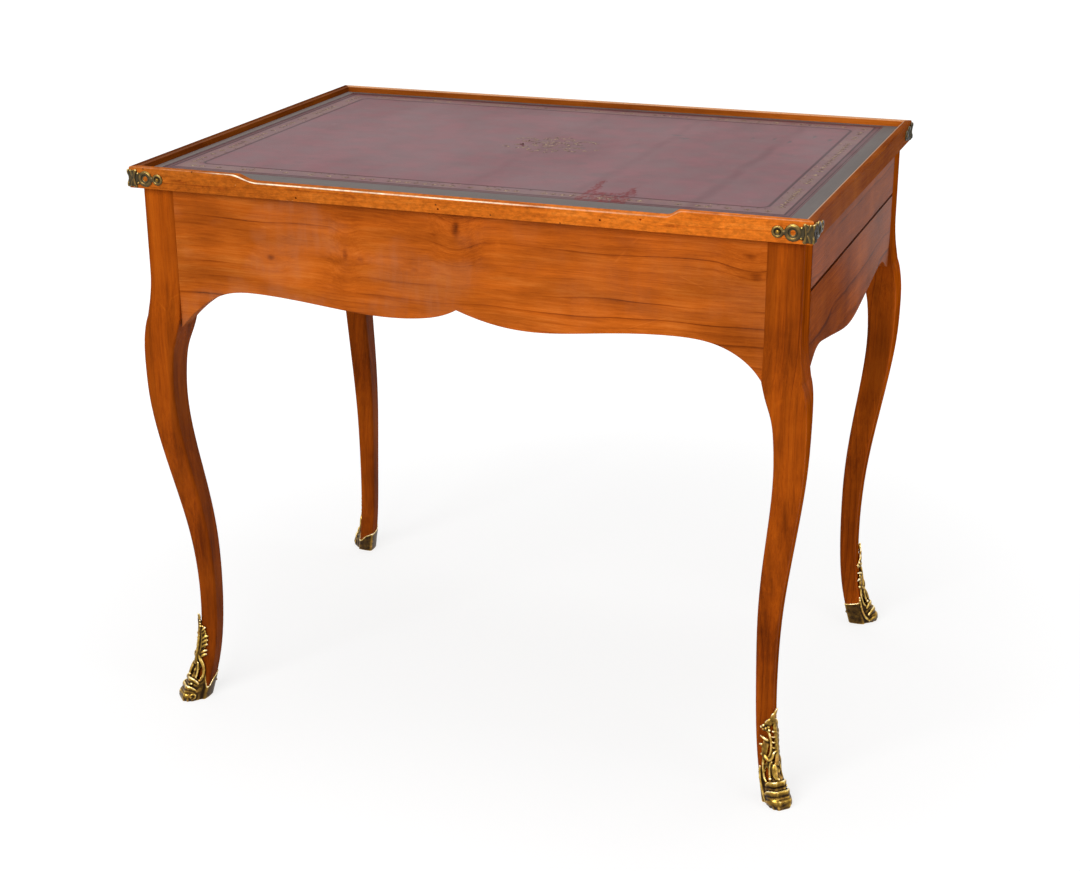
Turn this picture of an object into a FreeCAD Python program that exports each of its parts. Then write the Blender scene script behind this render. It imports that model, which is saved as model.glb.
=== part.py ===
import FreeCAD, Part
import math
import os

os.makedirs("parts", exist_ok=True)
V = FreeCAD.Vector
UP = V(0, 0, 1)

# Games table in millimetres. +Z is up, the sitter's side is -Y, +X runs along the length,
# and the origin is on the floor under the middle of the top.

# The lift-off top
TOP_LENGTH = 840.0
TOP_WIDTH = 600.0
TOP_HEIGHT = 730.0
TOP_OVERHANG = 11.0
RIM_HEIGHT = 26.0
RIM_THICK = 10.0
RIM_STAND = 8.0
RIM_SOFTEN = 1.8
DIP_LEFT = 247.0
DIP_LEFT_SWEEP = 38.0
DIP_RIGHT = 254.0
DIP_RIGHT_SWEEP = 22.0
DIP_FALL = 1.8
LEATHER_LENGTH = 785.0
LEATHER_WIDTH = 542.0
LEATHER_SET_BACK = 13.0
LEATHER_ASIDE = -7.0
VENEER = 1.0
LEATHER_THICK = 0.9

# The frame
POST_SIDE = 41.0
APRON_THICK = 22.0
TENON_LENGTH = 25.0
TENON_THICK = 8.0
TENON_INSET = 7.0
TENON_SHOULDER = 10.0
TENON_BOTTOM = 600.0
EDGE_SOFTEN = 0.9
DRAWER_GAP_Z = 640.0
DRAWER_GAP = 0.8
DRAWER_TOP_GAP = 1.8
DOWEL_RADIUS = 4.0
DOWEL_SUNK = 12.0
DOWEL_STAND = 8.0
DOWEL_PLAY = 0.4

# The games well
FLOOR_THICK = 9.0
FLOOR_CLEAR = 1.0
BAR_WIDTH = 24.0
BAR_HEIGHT = 30.0
POINTS_PER_SIDE = 6
POINT_LENGTH = 190.0
POINT_BASE_SHARE = 0.88
BEARER_WIDTH = 31.0
BEARER_THICK = 12.0

# The end drawers
RUNNER_BOTTOM = 589.0
RUNNER_THICK = 8.0
RUNNER_WIDTH = 45.0
CENTRE_RAIL_THICK = 20.0
SLIDE_PLAY = 0.3
DRAWER_SIDE_TOP = 636.0
DRAWER_SIDE_THICK = 10.0
DRAWER_BACK_THICK = 8.0
DRAWER_BOTTOM_THICK = 4.0
DRAWER_BOTTOM_RAISE = 5.0
GROOVE_DEPTH = 5.0
TAIL_DEPTH = 12.0
TAIL_SPLAY = 2.5

# The gilt metalwork
SABOT_WALL = 1.6
SOLE_THICK = 1.5
TOE_HALF_WIDTH = 14.0
MOUNT_THICK = 3.0
PIN_RADIUS = 1.2

# Sizes that follow from these
TOP_X = TOP_LENGTH / 2
TOP_Y = TOP_WIDTH / 2
FRAME_X = TOP_X - TOP_OVERHANG
FRAME_Y = TOP_Y - TOP_OVERHANG
FRAME_TOP = TOP_HEIGHT - RIM_HEIGHT
FIELD_TOP = TOP_HEIGHT - RIM_STAND
PANEL_TOP = FIELD_TOP - VENEER
POST_X = FRAME_X - POST_SIDE
POST_Y = FRAME_Y - POST_SIDE
APRON_X = FRAME_X - APRON_THICK
APRON_Y = FRAME_Y - APRON_THICK
FLOOR_BOTTOM = DRAWER_GAP_Z + FLOOR_CLEAR
FLOOR_TOP = FLOOR_BOTTOM + FLOOR_THICK
BEARER_Y = APRON_Y - BEARER_WIDTH
RUNNER_TOP = RUNNER_BOTTOM + RUNNER_THICK

CORNERS = {
    "front_left": (-1, -1),
    "front_right": (1, -1),
    "back_left": (-1, 1),
    "back_right": (1, 1),
}


def save(name, shape):
    """One named piece of the table."""
    shape.exportStep("parts/%s.step" % name)


def box(x0, x1, y0, y1, z0, z1):
    """A squared board between two corners."""
    return Part.makeBox(x1 - x0, y1 - y0, z1 - z0, V(x0, y0, z0))


def prism(points, along):
    """A straight-sided outline carried along one direction."""
    outline = Part.makePolygon(points + points[:1])
    return Part.Face(outline).extrude(along)


def flip_x(shape):
    """The same piece on the other end of the table."""
    return shape.mirror(V(0, 0, 0), V(1, 0, 0))


def flip_y(shape):
    """The same piece on the other long side of the table."""
    return shape.mirror(V(0, 0, 0), V(0, 1, 0))


def at_corner(shape, corner):
    """A piece drawn at the back right corner, carried to the named corner."""
    side_x, side_y = CORNERS[corner]
    if side_x < 0:
        shape = flip_x(shape)
    if side_y < 0:
        shape = flip_y(shape)
    return shape


def soften(board, edges):
    """A board with the named edges rubbed round."""
    return board.makeFillet(EDGE_SOFTEN, edges)


def smooth(points):
    """A fair curve through the points that shape it."""
    curve = Part.BSplineCurve()
    curve.interpolate(points)
    return curve.toShape()


# Each leg is sawn square and shaped on the diagonal: height, then the middle of the section
# along X and along Y, then the side of the square, then how much of it is left across the diagonal.
LEG_SECTIONS = [
    (SOLE_THICK, 394.4, 263.4, 23.0, 0.92),
    (25.0, 389.4, 258.4, 23.2, 0.92),
    (60.0, 383.3, 252.3, 23.4, 0.91),
    (110.0, 379.0, 248.0, 23.8, 0.91),
    (170.0, 377.8, 247.8, 25.0, 0.92),
    (240.0, 380.2, 253.2, 28.3, 0.92),
    (310.0, 387.8, 263.2, 32.0, 0.92),
    (380.0, 397.3, 273.2, 34.8, 0.91),
    (440.0, 402.3, 277.4, 37.6, 0.91),
    (470.0, 402.2, 277.1, 39.6, 0.92),
    (500.0, 400.0, 275.4, 43.2, 0.94),
    (513.0, 397.6, 273.9, 45.5, 0.96),
    (526.0, 394.8, 272.4, 47.0, 0.98),
]
# The top of the knee, flush with the post's two inner faces: height, then side.
KNEE_TOP = [(541.0, 46.2), (552.0, 44.6), (568.0, 42.6), (584.0, 41.4), (600.0, POST_SIDE)]
LEG_ARRIS = 4.0
POST_ARRIS = 3.0
POST_JOINT_ARRIS = 0.4
KNEE_Z = 500.0
ARCH_FOOT_Z = KNEE_TOP[0][0]


def rounded(corners, radii):
    """A closed outline with each corner rounded to its radius."""
    count = len(corners)
    bends = []
    for i, corner in enumerate(corners):
        to_last = (corners[i - 1] - corner).normalize()
        to_next = (corners[(i + 1) % count] - corner).normalize()
        half_angle = to_last.getAngle(to_next) / 2
        reach = radii[i] / math.tan(half_angle)
        inset = radii[i] / math.sin(half_angle) - radii[i]
        middle = corner + (to_last + to_next).normalize() * inset
        bends.append((corner + to_last * reach, middle, corner + to_next * reach))
    edges = []
    for i, (first, middle, last) in enumerate(bends):
        edges.append(Part.Arc(first, middle, last).toShape())
        edges.append(Part.makeLine(last, bends[(i + 1) % count][0]))
    return Part.Wire(edges)


def leg_section(z, middle_x, middle_y, side, across, grow=0.0):
    """A square with softened arrises; at the post only the table's corner stays soft."""
    along = side / 2 + grow
    wide = side / 2 * across + grow
    up_knee = min(max((z - KNEE_Z) / (ARCH_FOOT_Z - KNEE_Z), 0.0), 1.0)
    outer = LEG_ARRIS + grow + up_knee * (POST_ARRIS - LEG_ARRIS)
    other = LEG_ARRIS + grow + up_knee * (POST_JOINT_ARRIS - LEG_ARRIS)
    middle = V(middle_x, middle_y, z)
    corners = [V(along, along, 0), V(-wide, wide, 0), V(-along, -along, 0), V(wide, -wide, 0)]
    return rounded([middle + corner for corner in corners], [outer, other, other, other])


def apron_tenon():
    """The tongue of the long apron inside the back right leg."""
    y1 = FRAME_Y - TENON_INSET
    z1 = FRAME_TOP - TENON_SHOULDER
    return box(POST_X, POST_X + TENON_LENGTH, y1 - TENON_THICK, y1, TENON_BOTTOM, z1)


def end_rail_tenon():
    """The tongue of the end rail inside the back right leg."""
    x1 = FRAME_X - TENON_INSET
    z0 = DRAWER_GAP_Z + TENON_SHOULDER
    z1 = FRAME_TOP - TENON_SHOULDER
    return box(x1 - TENON_THICK, x1, POST_Y, POST_Y + TENON_LENGTH, z0, z1)


def top_dowel():
    """The peg in the top of the back right leg that keeps the top in place."""
    foot = V(FRAME_X - POST_SIDE / 2, FRAME_Y - POST_SIDE / 2, FRAME_TOP - DOWEL_SUNK)
    return Part.makeCylinder(DOWEL_RADIUS, DOWEL_SUNK + DOWEL_STAND, foot, UP)


def cabriole_leg():
    """The back right leg, mortised for its two rails and bored for its dowel."""
    sections = [leg_section(*section) for section in LEG_SECTIONS]
    knee = [leg_section(z, POST_X + side / 2, POST_Y + side / 2, side, 1.0) for z, side in KNEE_TOP]
    leg = Part.makeLoft(sections + knee[:1], True, False)
    post = Part.Face(knee[-1]).extrude(V(0, 0, FRAME_TOP - KNEE_TOP[-1][0]))
    leg = leg.fuse([Part.makeLoft(knee, True, False), post]).removeSplitter()
    for let_in in (apron_tenon(), end_rail_tenon(), top_dowel()):
        leg = leg.cut(let_in)
    return leg


# The shoe's upper edge, seen square to the leg's diagonal: distance along X, then height.
# It rises to a point at the heel, dips at the sides and climbs the front arris as a leaf.
SHOE_EDGE = [
    (370.0, 33.0),
    (377.0, 32.0),
    (382.0, 27.0),
    (393.0, 12.0),
    (396.0, 20.0),
    (391.4, 45.0),
    (388.6, 70.0),
    (386.2, 100.0),
    (387.6, 120.0),
    (391.2, 125.0),
]
# The toe in the same view: it runs out past the leg and turns up a little at its tip.
# Seen from above it is half an oval, as wide as the leg at its root.
TOE_ROOT = 391.0
TOE_TIP = 415.5
TOE_EDGE = [
    (TOE_ROOT, 0.0),
    (411.0, 0.0),
    (TOE_TIP, 6.0),
    (TOE_TIP, 11.0),
    (407.5, 24.0),
    (400.4, 46.0),
    (TOE_ROOT, 46.0),
]
# Where the two pins of a shoe go in: distance along X on the diagonal, then height.
HEEL_PIN = (378.0, 19.0)
LEAF_PIN = (391.2, 105.0)
PIN_LENGTH = 8.0
FOOT_SKEW = LEG_SECTIONS[0][1] - LEG_SECTIONS[0][2]


def across_diagonal(outline, half_width):
    """An outline drawn on the leg's diagonal plane, carried both ways across it."""
    step = V(1, -1, 0).normalize() * half_width
    points = [V(x, x - FOOT_SKEW, z) - step for x, z in outline]
    return prism(points, step * 2)


def toe():
    """The solid toe of the shoe, rounded in plan."""
    outward = V(1, 1, 0).normalize()
    root = V(TOE_ROOT, TOE_ROOT - FOOT_SKEW, 0)
    length = (TOE_TIP - TOE_ROOT) * 2 ** 0.5
    oval = Part.Ellipse(root + outward * length, root + UP.cross(outward) * TOE_HALF_WIDTH, root)
    plan = Part.Face(Part.Wire(oval.toShape())).extrude(UP * TOE_EDGE[-1][1])
    return across_diagonal(TOE_EDGE, TOE_HALF_WIDTH).common(plan)


def sabot(leg):
    """The cast shoe of the back right leg."""
    sole = (0.0,) + LEG_SECTIONS[0][1:]
    lower = [sole] + LEG_SECTIONS[1:5]
    sections = [leg_section(*section, grow=SABOT_WALL) for section in lower]
    shell = Part.makeLoft(sections, True, False)
    heel_x = SHOE_EDGE[0][0]
    leaf_top = SHOE_EDGE[-1][1]
    cover = [(heel_x, -1.0)] + SHOE_EDGE + [(TOE_TIP, leaf_top), (TOE_TIP, -1.0)]
    shell = shell.common(across_diagonal(cover, POST_SIDE))
    return shell.fuse(toe()).cut(leg).removeSplitter()


def sabot_pins():
    """Two pins in each shoe: one at the heel, one near the tip of the leaf."""
    inward = V(1, 1, 0).normalize()
    heel = V(HEEL_PIN[0], HEEL_PIN[0] - FOOT_SKEW, HEEL_PIN[1])
    leaf = V(LEAF_PIN[0], LEAF_PIN[0] - FOOT_SKEW, LEAF_PIN[1])
    return [
        Part.makeCylinder(PIN_RADIUS, PIN_LENGTH, heel, inward),
        Part.makeCylinder(PIN_RADIUS, PIN_LENGTH, leaf, inward * -1),
    ]


leg = cabriole_leg()
pins = sabot_pins()
shoe = sabot(leg)
for pin in pins:
    shoe = shoe.cut(pin)
    leg = leg.cut(pin)
for corner in CORNERS:
    save("leg_" + corner, at_corner(leg, corner))
    save("sabot_" + corner, at_corner(shoe, corner))
save("sabot_pins", Part.makeCompound([at_corner(p, c) for c in CORNERS for p in pins]))
save("top_dowels", Part.makeCompound([at_corner(top_dowel(), c) for c in CORNERS]))

# The long apron's lower edge from the middle cusp to each leg: distance along X, then height.
# It was sawn by eye, and the left arch runs a little lower than the right one.
APRON_CUSP = (0.0, 587.0)
APRON_RIGHT = [
    (22.0, 580.0),
    (52.0, 573.3),
    (90.0, 570.0),
    (177.0, 577.0),
    (262.0, 583.0),
    (315.0, 577.5),
    (347.0, 561.5),
    (POST_X, 538.0),
]
APRON_LEFT = [
    (-20.0, 578.0),
    (-48.0, 572.2),
    (-90.0, 569.6),
    (-177.0, 575.6),
    (-257.0, 581.6),
    (-305.0, 577.0),
    (-338.0, 558.5),
    (-POST_X, 529.0),
]


def long_apron():
    """The back apron between the legs, with a tenon at each end."""
    right = [V(x, FRAME_Y, z) for x, z in [APRON_CUSP] + APRON_RIGHT]
    left = [V(x, FRAME_Y, z) for x, z in [APRON_CUSP] + APRON_LEFT]
    top_right = V(POST_X, FRAME_Y, FRAME_TOP)
    top_left = V(-POST_X, FRAME_Y, FRAME_TOP)
    edges = [
        smooth(right),
        Part.makeLine(right[-1], top_right),
        Part.makeLine(top_right, top_left),
        Part.makeLine(top_left, left[-1]),
        smooth(left),
    ]
    outline = Part.Wire(Part.sortEdges(edges)[0])
    board = Part.Face(outline).extrude(V(0, -APRON_THICK, 0))
    lower = [e for e in board.Edges if e.BoundBox.ZMax < TENON_BOTTOM]
    board = soften(board, [e for e in lower if e.BoundBox.YMin > FRAME_Y - EDGE_SOFTEN])
    return board.fuse([apron_tenon(), flip_x(apron_tenon())]).removeSplitter()


def end_rail():
    """The plain rail over the right drawer, with a tenon at each end."""
    board = box(APRON_X, FRAME_X, -POST_Y, POST_Y, DRAWER_GAP_Z, FRAME_TOP)
    lower = [e for e in board.Edges if e.BoundBox.ZMax < DRAWER_GAP_Z + EDGE_SOFTEN]
    board = soften(board, [e for e in lower if e.BoundBox.XMin > FRAME_X - EDGE_SOFTEN])
    return board.fuse([end_rail_tenon(), flip_y(end_rail_tenon())]).removeSplitter()


apron = long_apron()
save("apron_back", apron)
save("apron_front", flip_y(apron))
rail = end_rail()
save("end_rail_right", rail)
save("end_rail_left", flip_x(rail))

# Inside: two bearers carry the floor of the well, and a centre rail parts the two drawers.
bearer = box(-POST_X, POST_X, BEARER_Y, APRON_Y, FLOOR_BOTTOM - BEARER_THICK, FLOOR_BOTTOM)
save("floor_bearer_back", bearer)
save("floor_bearer_front", flip_y(bearer))
RAIL_X = CENTRE_RAIL_THICK / 2
centre_rail = box(-RAIL_X, RAIL_X, -APRON_Y, APRON_Y, RUNNER_BOTTOM, FLOOR_BOTTOM - BEARER_THICK)
centre_top = box(-RAIL_X, RAIL_X, -BEARER_Y, BEARER_Y, FLOOR_BOTTOM - BEARER_THICK, FLOOR_BOTTOM)
save("centre_rail", centre_rail.fuse(centre_top).removeSplitter())
runner = box(RAIL_X, POST_X, APRON_Y - RUNNER_WIDTH, APRON_Y, RUNNER_BOTTOM, RUNNER_TOP)
for corner in CORNERS:
    save("drawer_runner_" + corner, at_corner(runner, corner))

# The well is lined flush with the posts, so that its mouth is one clean rectangle.
lining_long = box(-POST_X, POST_X, POST_Y, APRON_Y, FLOOR_BOTTOM, FRAME_TOP)
save("well_lining_back", lining_long)
save("well_lining_front", flip_y(lining_long))
lining_end = box(POST_X, APRON_X, -POST_Y, POST_Y, FLOOR_BOTTOM, FRAME_TOP)
save("well_lining_right", lining_end)
save("well_lining_left", flip_x(lining_end))
save("well_floor", box(-POST_X, POST_X, -POST_Y, POST_Y, FLOOR_BOTTOM, FLOOR_TOP - VENEER))

# The playing field: a veneer pierced for two rows of points in each half, and a bar between.
HALF_FIELD = POST_X - BAR_WIDTH / 2
POINT_PITCH = HALF_FIELD / POINTS_PER_SIDE
POINT_HALF = POINT_PITCH * POINT_BASE_SHARE / 2


def playing_point(column, side):
    """One inlaid triangle, its base on the front (side -1) or back (side 1) of the well."""
    x = BAR_WIDTH / 2 + (column + 0.5) * POINT_PITCH
    base_y = side * (POST_Y - VENEER)
    tip_y = side * (POST_Y - VENEER - POINT_LENGTH)
    z = FLOOR_TOP - VENEER
    outline = [V(x - POINT_HALF, base_y, z), V(x + POINT_HALF, base_y, z), V(x, tip_y, z)]
    return prism(outline, V(0, 0, VENEER))


points_light = []
points_dark = []
for side in (-1, 1):
    for column in range(POINTS_PER_SIDE):
        point = playing_point(column, side)
        first_kind = (column + (side + 1) // 2) % 2 == 0
        near, far = (points_light, points_dark) if first_kind else (points_dark, points_light)
        near.append(point)
        far.append(flip_x(point))
field = box(-POST_X, POST_X, -POST_Y, POST_Y, FLOOR_TOP - VENEER, FLOOR_TOP)
save("well_field", field.cut(points_light + points_dark))
save("points_light", Part.makeCompound(points_light))
save("points_dark", Part.makeCompound(points_dark))
BAR_X = BAR_WIDTH / 2
save("centre_bar", box(-BAR_X, BAR_X, -POST_Y, POST_Y, FLOOR_TOP, FLOOR_TOP + BAR_HEIGHT))

# The drawer front's lower edge from the middle to one leg: distance along Y, then height.
FRONT_HALF = POST_Y - DRAWER_GAP
FRONT_EDGE = [
    (0.0, 532.5),
    (62.0, 538.8),
    (111.0, 547.5),
    (160.0, 556.0),
    (190.0, 559.0),
    (211.0, 554.5),
    (228.0, 545.5),
    (FRONT_HALF, 540.0),
]
FRONT_TOP = DRAWER_GAP_Z - DRAWER_TOP_GAP
DRAWER_BACK_X = RAIL_X + 2.0
SIDE_Y = BEARER_Y - 2.0
SIDE_BOTTOM = RUNNER_TOP + SLIDE_PLAY
BOTTOM_Z = SIDE_BOTTOM + DRAWER_BOTTOM_RAISE
TAIL_ROWS = (0.28, 0.74)
TAIL_HALF = 5.0


def drawer_tails():
    """The dovetails that join the back side of the right drawer to its front."""
    tails = []
    for share in TAIL_ROWS:
        z = SIDE_BOTTOM + share * (DRAWER_SIDE_TOP - SIDE_BOTTOM)
        y = SIDE_Y - DRAWER_SIDE_THICK
        wide = TAIL_HALF + TAIL_SPLAY
        outline = [
            V(APRON_X, y, z - TAIL_HALF),
            V(APRON_X + TAIL_DEPTH, y, z - wide),
            V(APRON_X + TAIL_DEPTH, y, z + wide),
            V(APRON_X, y, z + TAIL_HALF),
        ]
        tails.append(prism(outline, V(0, DRAWER_SIDE_THICK, 0)))
    return tails


def drawer_bottom():
    """The thin board in the grooves of the right drawer."""
    inner_y = SIDE_Y - DRAWER_SIDE_THICK + GROOVE_DEPTH
    front_x = APRON_X + GROOVE_DEPTH
    return box(DRAWER_BACK_X, front_x, -inner_y, inner_y, BOTTOM_Z, BOTTOM_Z + DRAWER_BOTTOM_THICK)


def drawer_front():
    """The right drawer's front, with sockets for the tails and a groove for the bottom."""
    lower = [V(FRAME_X, -y, z) for y, z in reversed(FRONT_EDGE)]
    lower += [V(FRAME_X, y, z) for y, z in FRONT_EDGE[1:]]
    edges = [
        smooth(lower),
        Part.makeLine(lower[-1], V(FRAME_X, FRONT_HALF, FRONT_TOP)),
        Part.makeLine(V(FRAME_X, FRONT_HALF, FRONT_TOP), V(FRAME_X, -FRONT_HALF, FRONT_TOP)),
        Part.makeLine(V(FRAME_X, -FRONT_HALF, FRONT_TOP), lower[0]),
    ]
    board = Part.Face(Part.Wire(edges)).extrude(V(-APRON_THICK, 0, 0))
    outward = [e for e in board.Edges if e.BoundBox.XMin > FRAME_X - EDGE_SOFTEN]
    board = soften(board, [e for e in outward if e.Length > POST_Y])
    tails = drawer_tails()
    return board.cut(tails + [flip_y(t) for t in tails] + [drawer_bottom()])


def drawer_side():
    """The back side of the right drawer, tailed at the front and grooved for the bottom."""
    y0 = SIDE_Y - DRAWER_SIDE_THICK
    board = box(DRAWER_BACK_X, APRON_X, y0, SIDE_Y, SIDE_BOTTOM, DRAWER_SIDE_TOP)
    return board.fuse(drawer_tails()).removeSplitter().cut(drawer_bottom())


def drawer_back():
    """The low board at the inner end of the right drawer, over its bottom."""
    y1 = SIDE_Y - DRAWER_SIDE_THICK
    x1 = DRAWER_BACK_X + DRAWER_BACK_THICK
    z0 = BOTTOM_Z + DRAWER_BOTTOM_THICK
    return box(DRAWER_BACK_X, x1, -y1, y1, z0, DRAWER_SIDE_TOP - 2.0)


side = drawer_side()
drawer = {
    "front": drawer_front(),
    "side_back": side,
    "side_front": flip_y(side),
    "back": drawer_back(),
    "bottom": drawer_bottom(),
}
for name, piece in drawer.items():
    save("drawer_right_" + name, piece)
    save("drawer_left_" + name, flip_x(piece))

# The top: a panel with a rim let round it, dark bands, leather above and baize below.
IN_X = TOP_X - RIM_THICK
IN_Y = TOP_Y - RIM_THICK
BAIZE_THICK = 1.0
BAIZE_RECESS = 1.2
BAIZE_MARGIN = 8.0
BAIZE_X = POST_X - BAIZE_MARGIN
BAIZE_Y = POST_Y - BAIZE_MARGIN


def top_panel():
    """The board of the top, recessed below for the baize and bored for the dowels."""
    panel = box(-IN_X, IN_X, -IN_Y, IN_Y, FRAME_TOP, PANEL_TOP)
    panel = panel.cut(box(-BAIZE_X, BAIZE_X, -BAIZE_Y, BAIZE_Y, FRAME_TOP, FRAME_TOP + BAIZE_RECESS))
    for side_x, side_y in CORNERS.values():
        x = side_x * (FRAME_X - POST_SIDE / 2)
        y = side_y * (FRAME_Y - POST_SIDE / 2)
        bore = Part.makeCylinder(DOWEL_RADIUS + DOWEL_PLAY, DOWEL_STAND + 1, V(x, y, FRAME_TOP), UP)
        panel = panel.cut(bore)
    return panel


def soften_top(strip):
    """The long upper edges of a rim strip, rubbed round."""
    upper = [e for e in strip.Edges if e.BoundBox.ZMin > FRAME_TOP + RIM_STAND]
    return strip.makeFillet(RIM_SOFTEN, [e for e in upper if e.Length > RIM_THICK * 1.6])


def rim_long():
    """The back rim strip, mitred at both ends."""
    z = FRAME_TOP
    outline = [V(-TOP_X, TOP_Y, z), V(TOP_X, TOP_Y, z), V(IN_X, IN_Y, z), V(-IN_X, IN_Y, z)]
    return prism(outline, V(0, 0, RIM_HEIGHT))


def rim_end():
    """The right rim strip, mitred at both ends."""
    z = FRAME_TOP
    outline = [V(TOP_X, -TOP_Y, z), V(TOP_X, TOP_Y, z), V(IN_X, IN_Y, z), V(IN_X, -IN_Y, z)]
    return prism(outline, V(0, 0, RIM_HEIGHT))


def front_dip():
    """The hollow sawn out of the front rim, swept up at each end, longer at the left.

    Its floor meets the field's level at the outer face and rises a little towards the field.
    """
    y = -TOP_Y - 1
    far_left = -DIP_LEFT - DIP_LEFT_SWEEP
    far_right = DIP_RIGHT + DIP_RIGHT_SWEEP
    sweeps = []
    for near, far in ((-DIP_LEFT, far_left), (DIP_RIGHT, far_right)):
        middle = (near + far) / 2
        sweep = Part.BezierCurve()
        sweep.setPoles([
            V(near, y, FIELD_TOP),
            V(middle, y, FIELD_TOP),
            V(middle, y, TOP_HEIGHT),
            V(far, y, TOP_HEIGHT),
        ])
        sweeps.append(sweep.toShape())
    lines = [
        Part.makeLine(V(-DIP_LEFT, y, FIELD_TOP), V(DIP_RIGHT, y, FIELD_TOP)),
        Part.makeLine(V(far_left, y, TOP_HEIGHT), V(far_right, y, TOP_HEIGHT)),
    ]
    outline = Part.Wire(Part.sortEdges(sweeps + lines)[0])
    return Part.Face(outline).extrude(V(0, RIM_THICK + 2, DIP_FALL))


# A corner mount's two arms lie on the rim's faces: a disc, a ring and a leaf at the corner,
# each given by its distance from the corner, its height and its radius.
MOUNT_Z = 716.0
MOUNT_DISC = (38.8, 6.9)
MOUNT_RING = (22.0, 9.7)
MOUNT_RING_HOLE = 3.0
MOUNT_LINK = 3.3
MOUNT_LEAF = (7.5, 10.5)
MOUNT_BEAD = 4.2
BEAD_INSET = 1.2


def on_back_rim(distance, radius, sunk=0.0):
    """A round lying on the back rim's face, so far from the right corner."""
    foot = V(TOP_X - distance, TOP_Y - sunk, MOUNT_Z)
    return Part.makeCylinder(radius, MOUNT_THICK + sunk, foot, V(0, 1, 0))


def turn_corner(shape):
    """A piece on the back rim, carried round the corner onto the right rim."""
    return shape.mirror(V(TOP_X, TOP_Y, 0), V(1, -1, 0))


def mount_pin():
    """The pin through the end disc of the back arm."""
    return on_back_rim(MOUNT_DISC[0], PIN_RADIUS, sunk=PIN_LENGTH - MOUNT_THICK)


def corner_mount():
    """The pierced bracket at the back right corner of the rim."""
    link = (MOUNT_DISC[0] - MOUNT_DISC[1] + MOUNT_RING[0] + MOUNT_RING[1]) / 2
    arm = on_back_rim(*MOUNT_DISC).fuse(on_back_rim(link, MOUNT_LINK))
    arm = arm.fuse([on_back_rim(*MOUNT_RING), on_back_rim(*MOUNT_LEAF)])
    arm = arm.cut([on_back_rim(MOUNT_RING[0], MOUNT_RING_HOLE), mount_pin()])
    arm = arm.common(box(0, TOP_X, TOP_Y, TOP_Y + MOUNT_THICK, FRAME_TOP, TOP_HEIGHT))
    bead_z = MOUNT_Z - MOUNT_LEAF[1]
    bead_foot = V(TOP_X - BEAD_INSET, TOP_Y - BEAD_INSET, bead_z)
    bead = Part.makeCylinder(MOUNT_BEAD, 2 * MOUNT_LEAF[1], bead_foot, UP)
    bead = bead.cut(box(0, TOP_X, 0, TOP_Y, 0, TOP_HEIGHT))
    return arm.fuse([turn_corner(arm), bead]).removeSplitter()


mount = corner_mount()
mount_pins = [mount_pin(), turn_corner(mount_pin())]
all_mount_pins = [at_corner(p, c) for c in CORNERS for p in mount_pins]
for corner in CORNERS:
    save("corner_mount_" + corner, at_corner(mount, corner))
save("corner_mount_pins", Part.makeCompound(all_mount_pins))

# Four holes in the front rim's face, left by former pins: distance along X, then height.
OLD_PIN_HOLES = [(-196.0, 708.0), (-15.0, 709.0), (180.0, 712.0), (227.0, 716.5)]
OLD_HOLE_DEPTH = 4.0


def old_pin_hole(x, z):
    """One empty hole, bored square to the front rim's face."""
    return Part.makeCylinder(PIN_RADIUS, OLD_HOLE_DEPTH, V(x, -TOP_Y, z), V(0, 1, 0))


rim_bores = all_mount_pins + [old_pin_hole(x, z) for x, z in OLD_PIN_HOLES]
rims = {
    "rim_front": flip_y(rim_long()).cut(front_dip()),
    "rim_back": rim_long(),
    "rim_right": rim_end(),
    "rim_left": flip_x(rim_end()),
}
for name, strip in rims.items():
    save(name, soften_top(strip).cut(rim_bores))

save("top_panel", top_panel())
BAIZE_TOP = FRAME_TOP + BAIZE_RECESS
save("baize", box(-BAIZE_X, BAIZE_X, -BAIZE_Y, BAIZE_Y, BAIZE_TOP - BAIZE_THICK, BAIZE_TOP))

# The leather lies a little towards the back and the left, inside four mitred bands of dark veneer.
LEATHER_LEFT = LEATHER_ASIDE - LEATHER_LENGTH / 2
LEATHER_RIGHT = LEATHER_ASIDE + LEATHER_LENGTH / 2
LEATHER_FRONT = LEATHER_SET_BACK - LEATHER_WIDTH / 2
LEATHER_BACK = LEATHER_SET_BACK + LEATHER_WIDTH / 2
Z = PANEL_TOP
save("leather", box(LEATHER_LEFT, LEATHER_RIGHT, LEATHER_FRONT, LEATHER_BACK, Z, Z + LEATHER_THICK))
outer = [V(-IN_X, -IN_Y, Z), V(IN_X, -IN_Y, Z), V(IN_X, IN_Y, Z), V(-IN_X, IN_Y, Z)]
inner = [
    V(LEATHER_LEFT, LEATHER_FRONT, Z),
    V(LEATHER_RIGHT, LEATHER_FRONT, Z),
    V(LEATHER_RIGHT, LEATHER_BACK, Z),
    V(LEATHER_LEFT, LEATHER_BACK, Z),
]
for i, name in enumerate(("front", "right", "back", "left")):
    j = (i + 1) % 4
    save("border_" + name, prism([outer[i], outer[j], inner[j], inner[i]], V(0, 0, VENEER)))
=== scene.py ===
import math

import bmesh
import bpy
import numpy as np
from mathutils import Matrix, Vector


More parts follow.
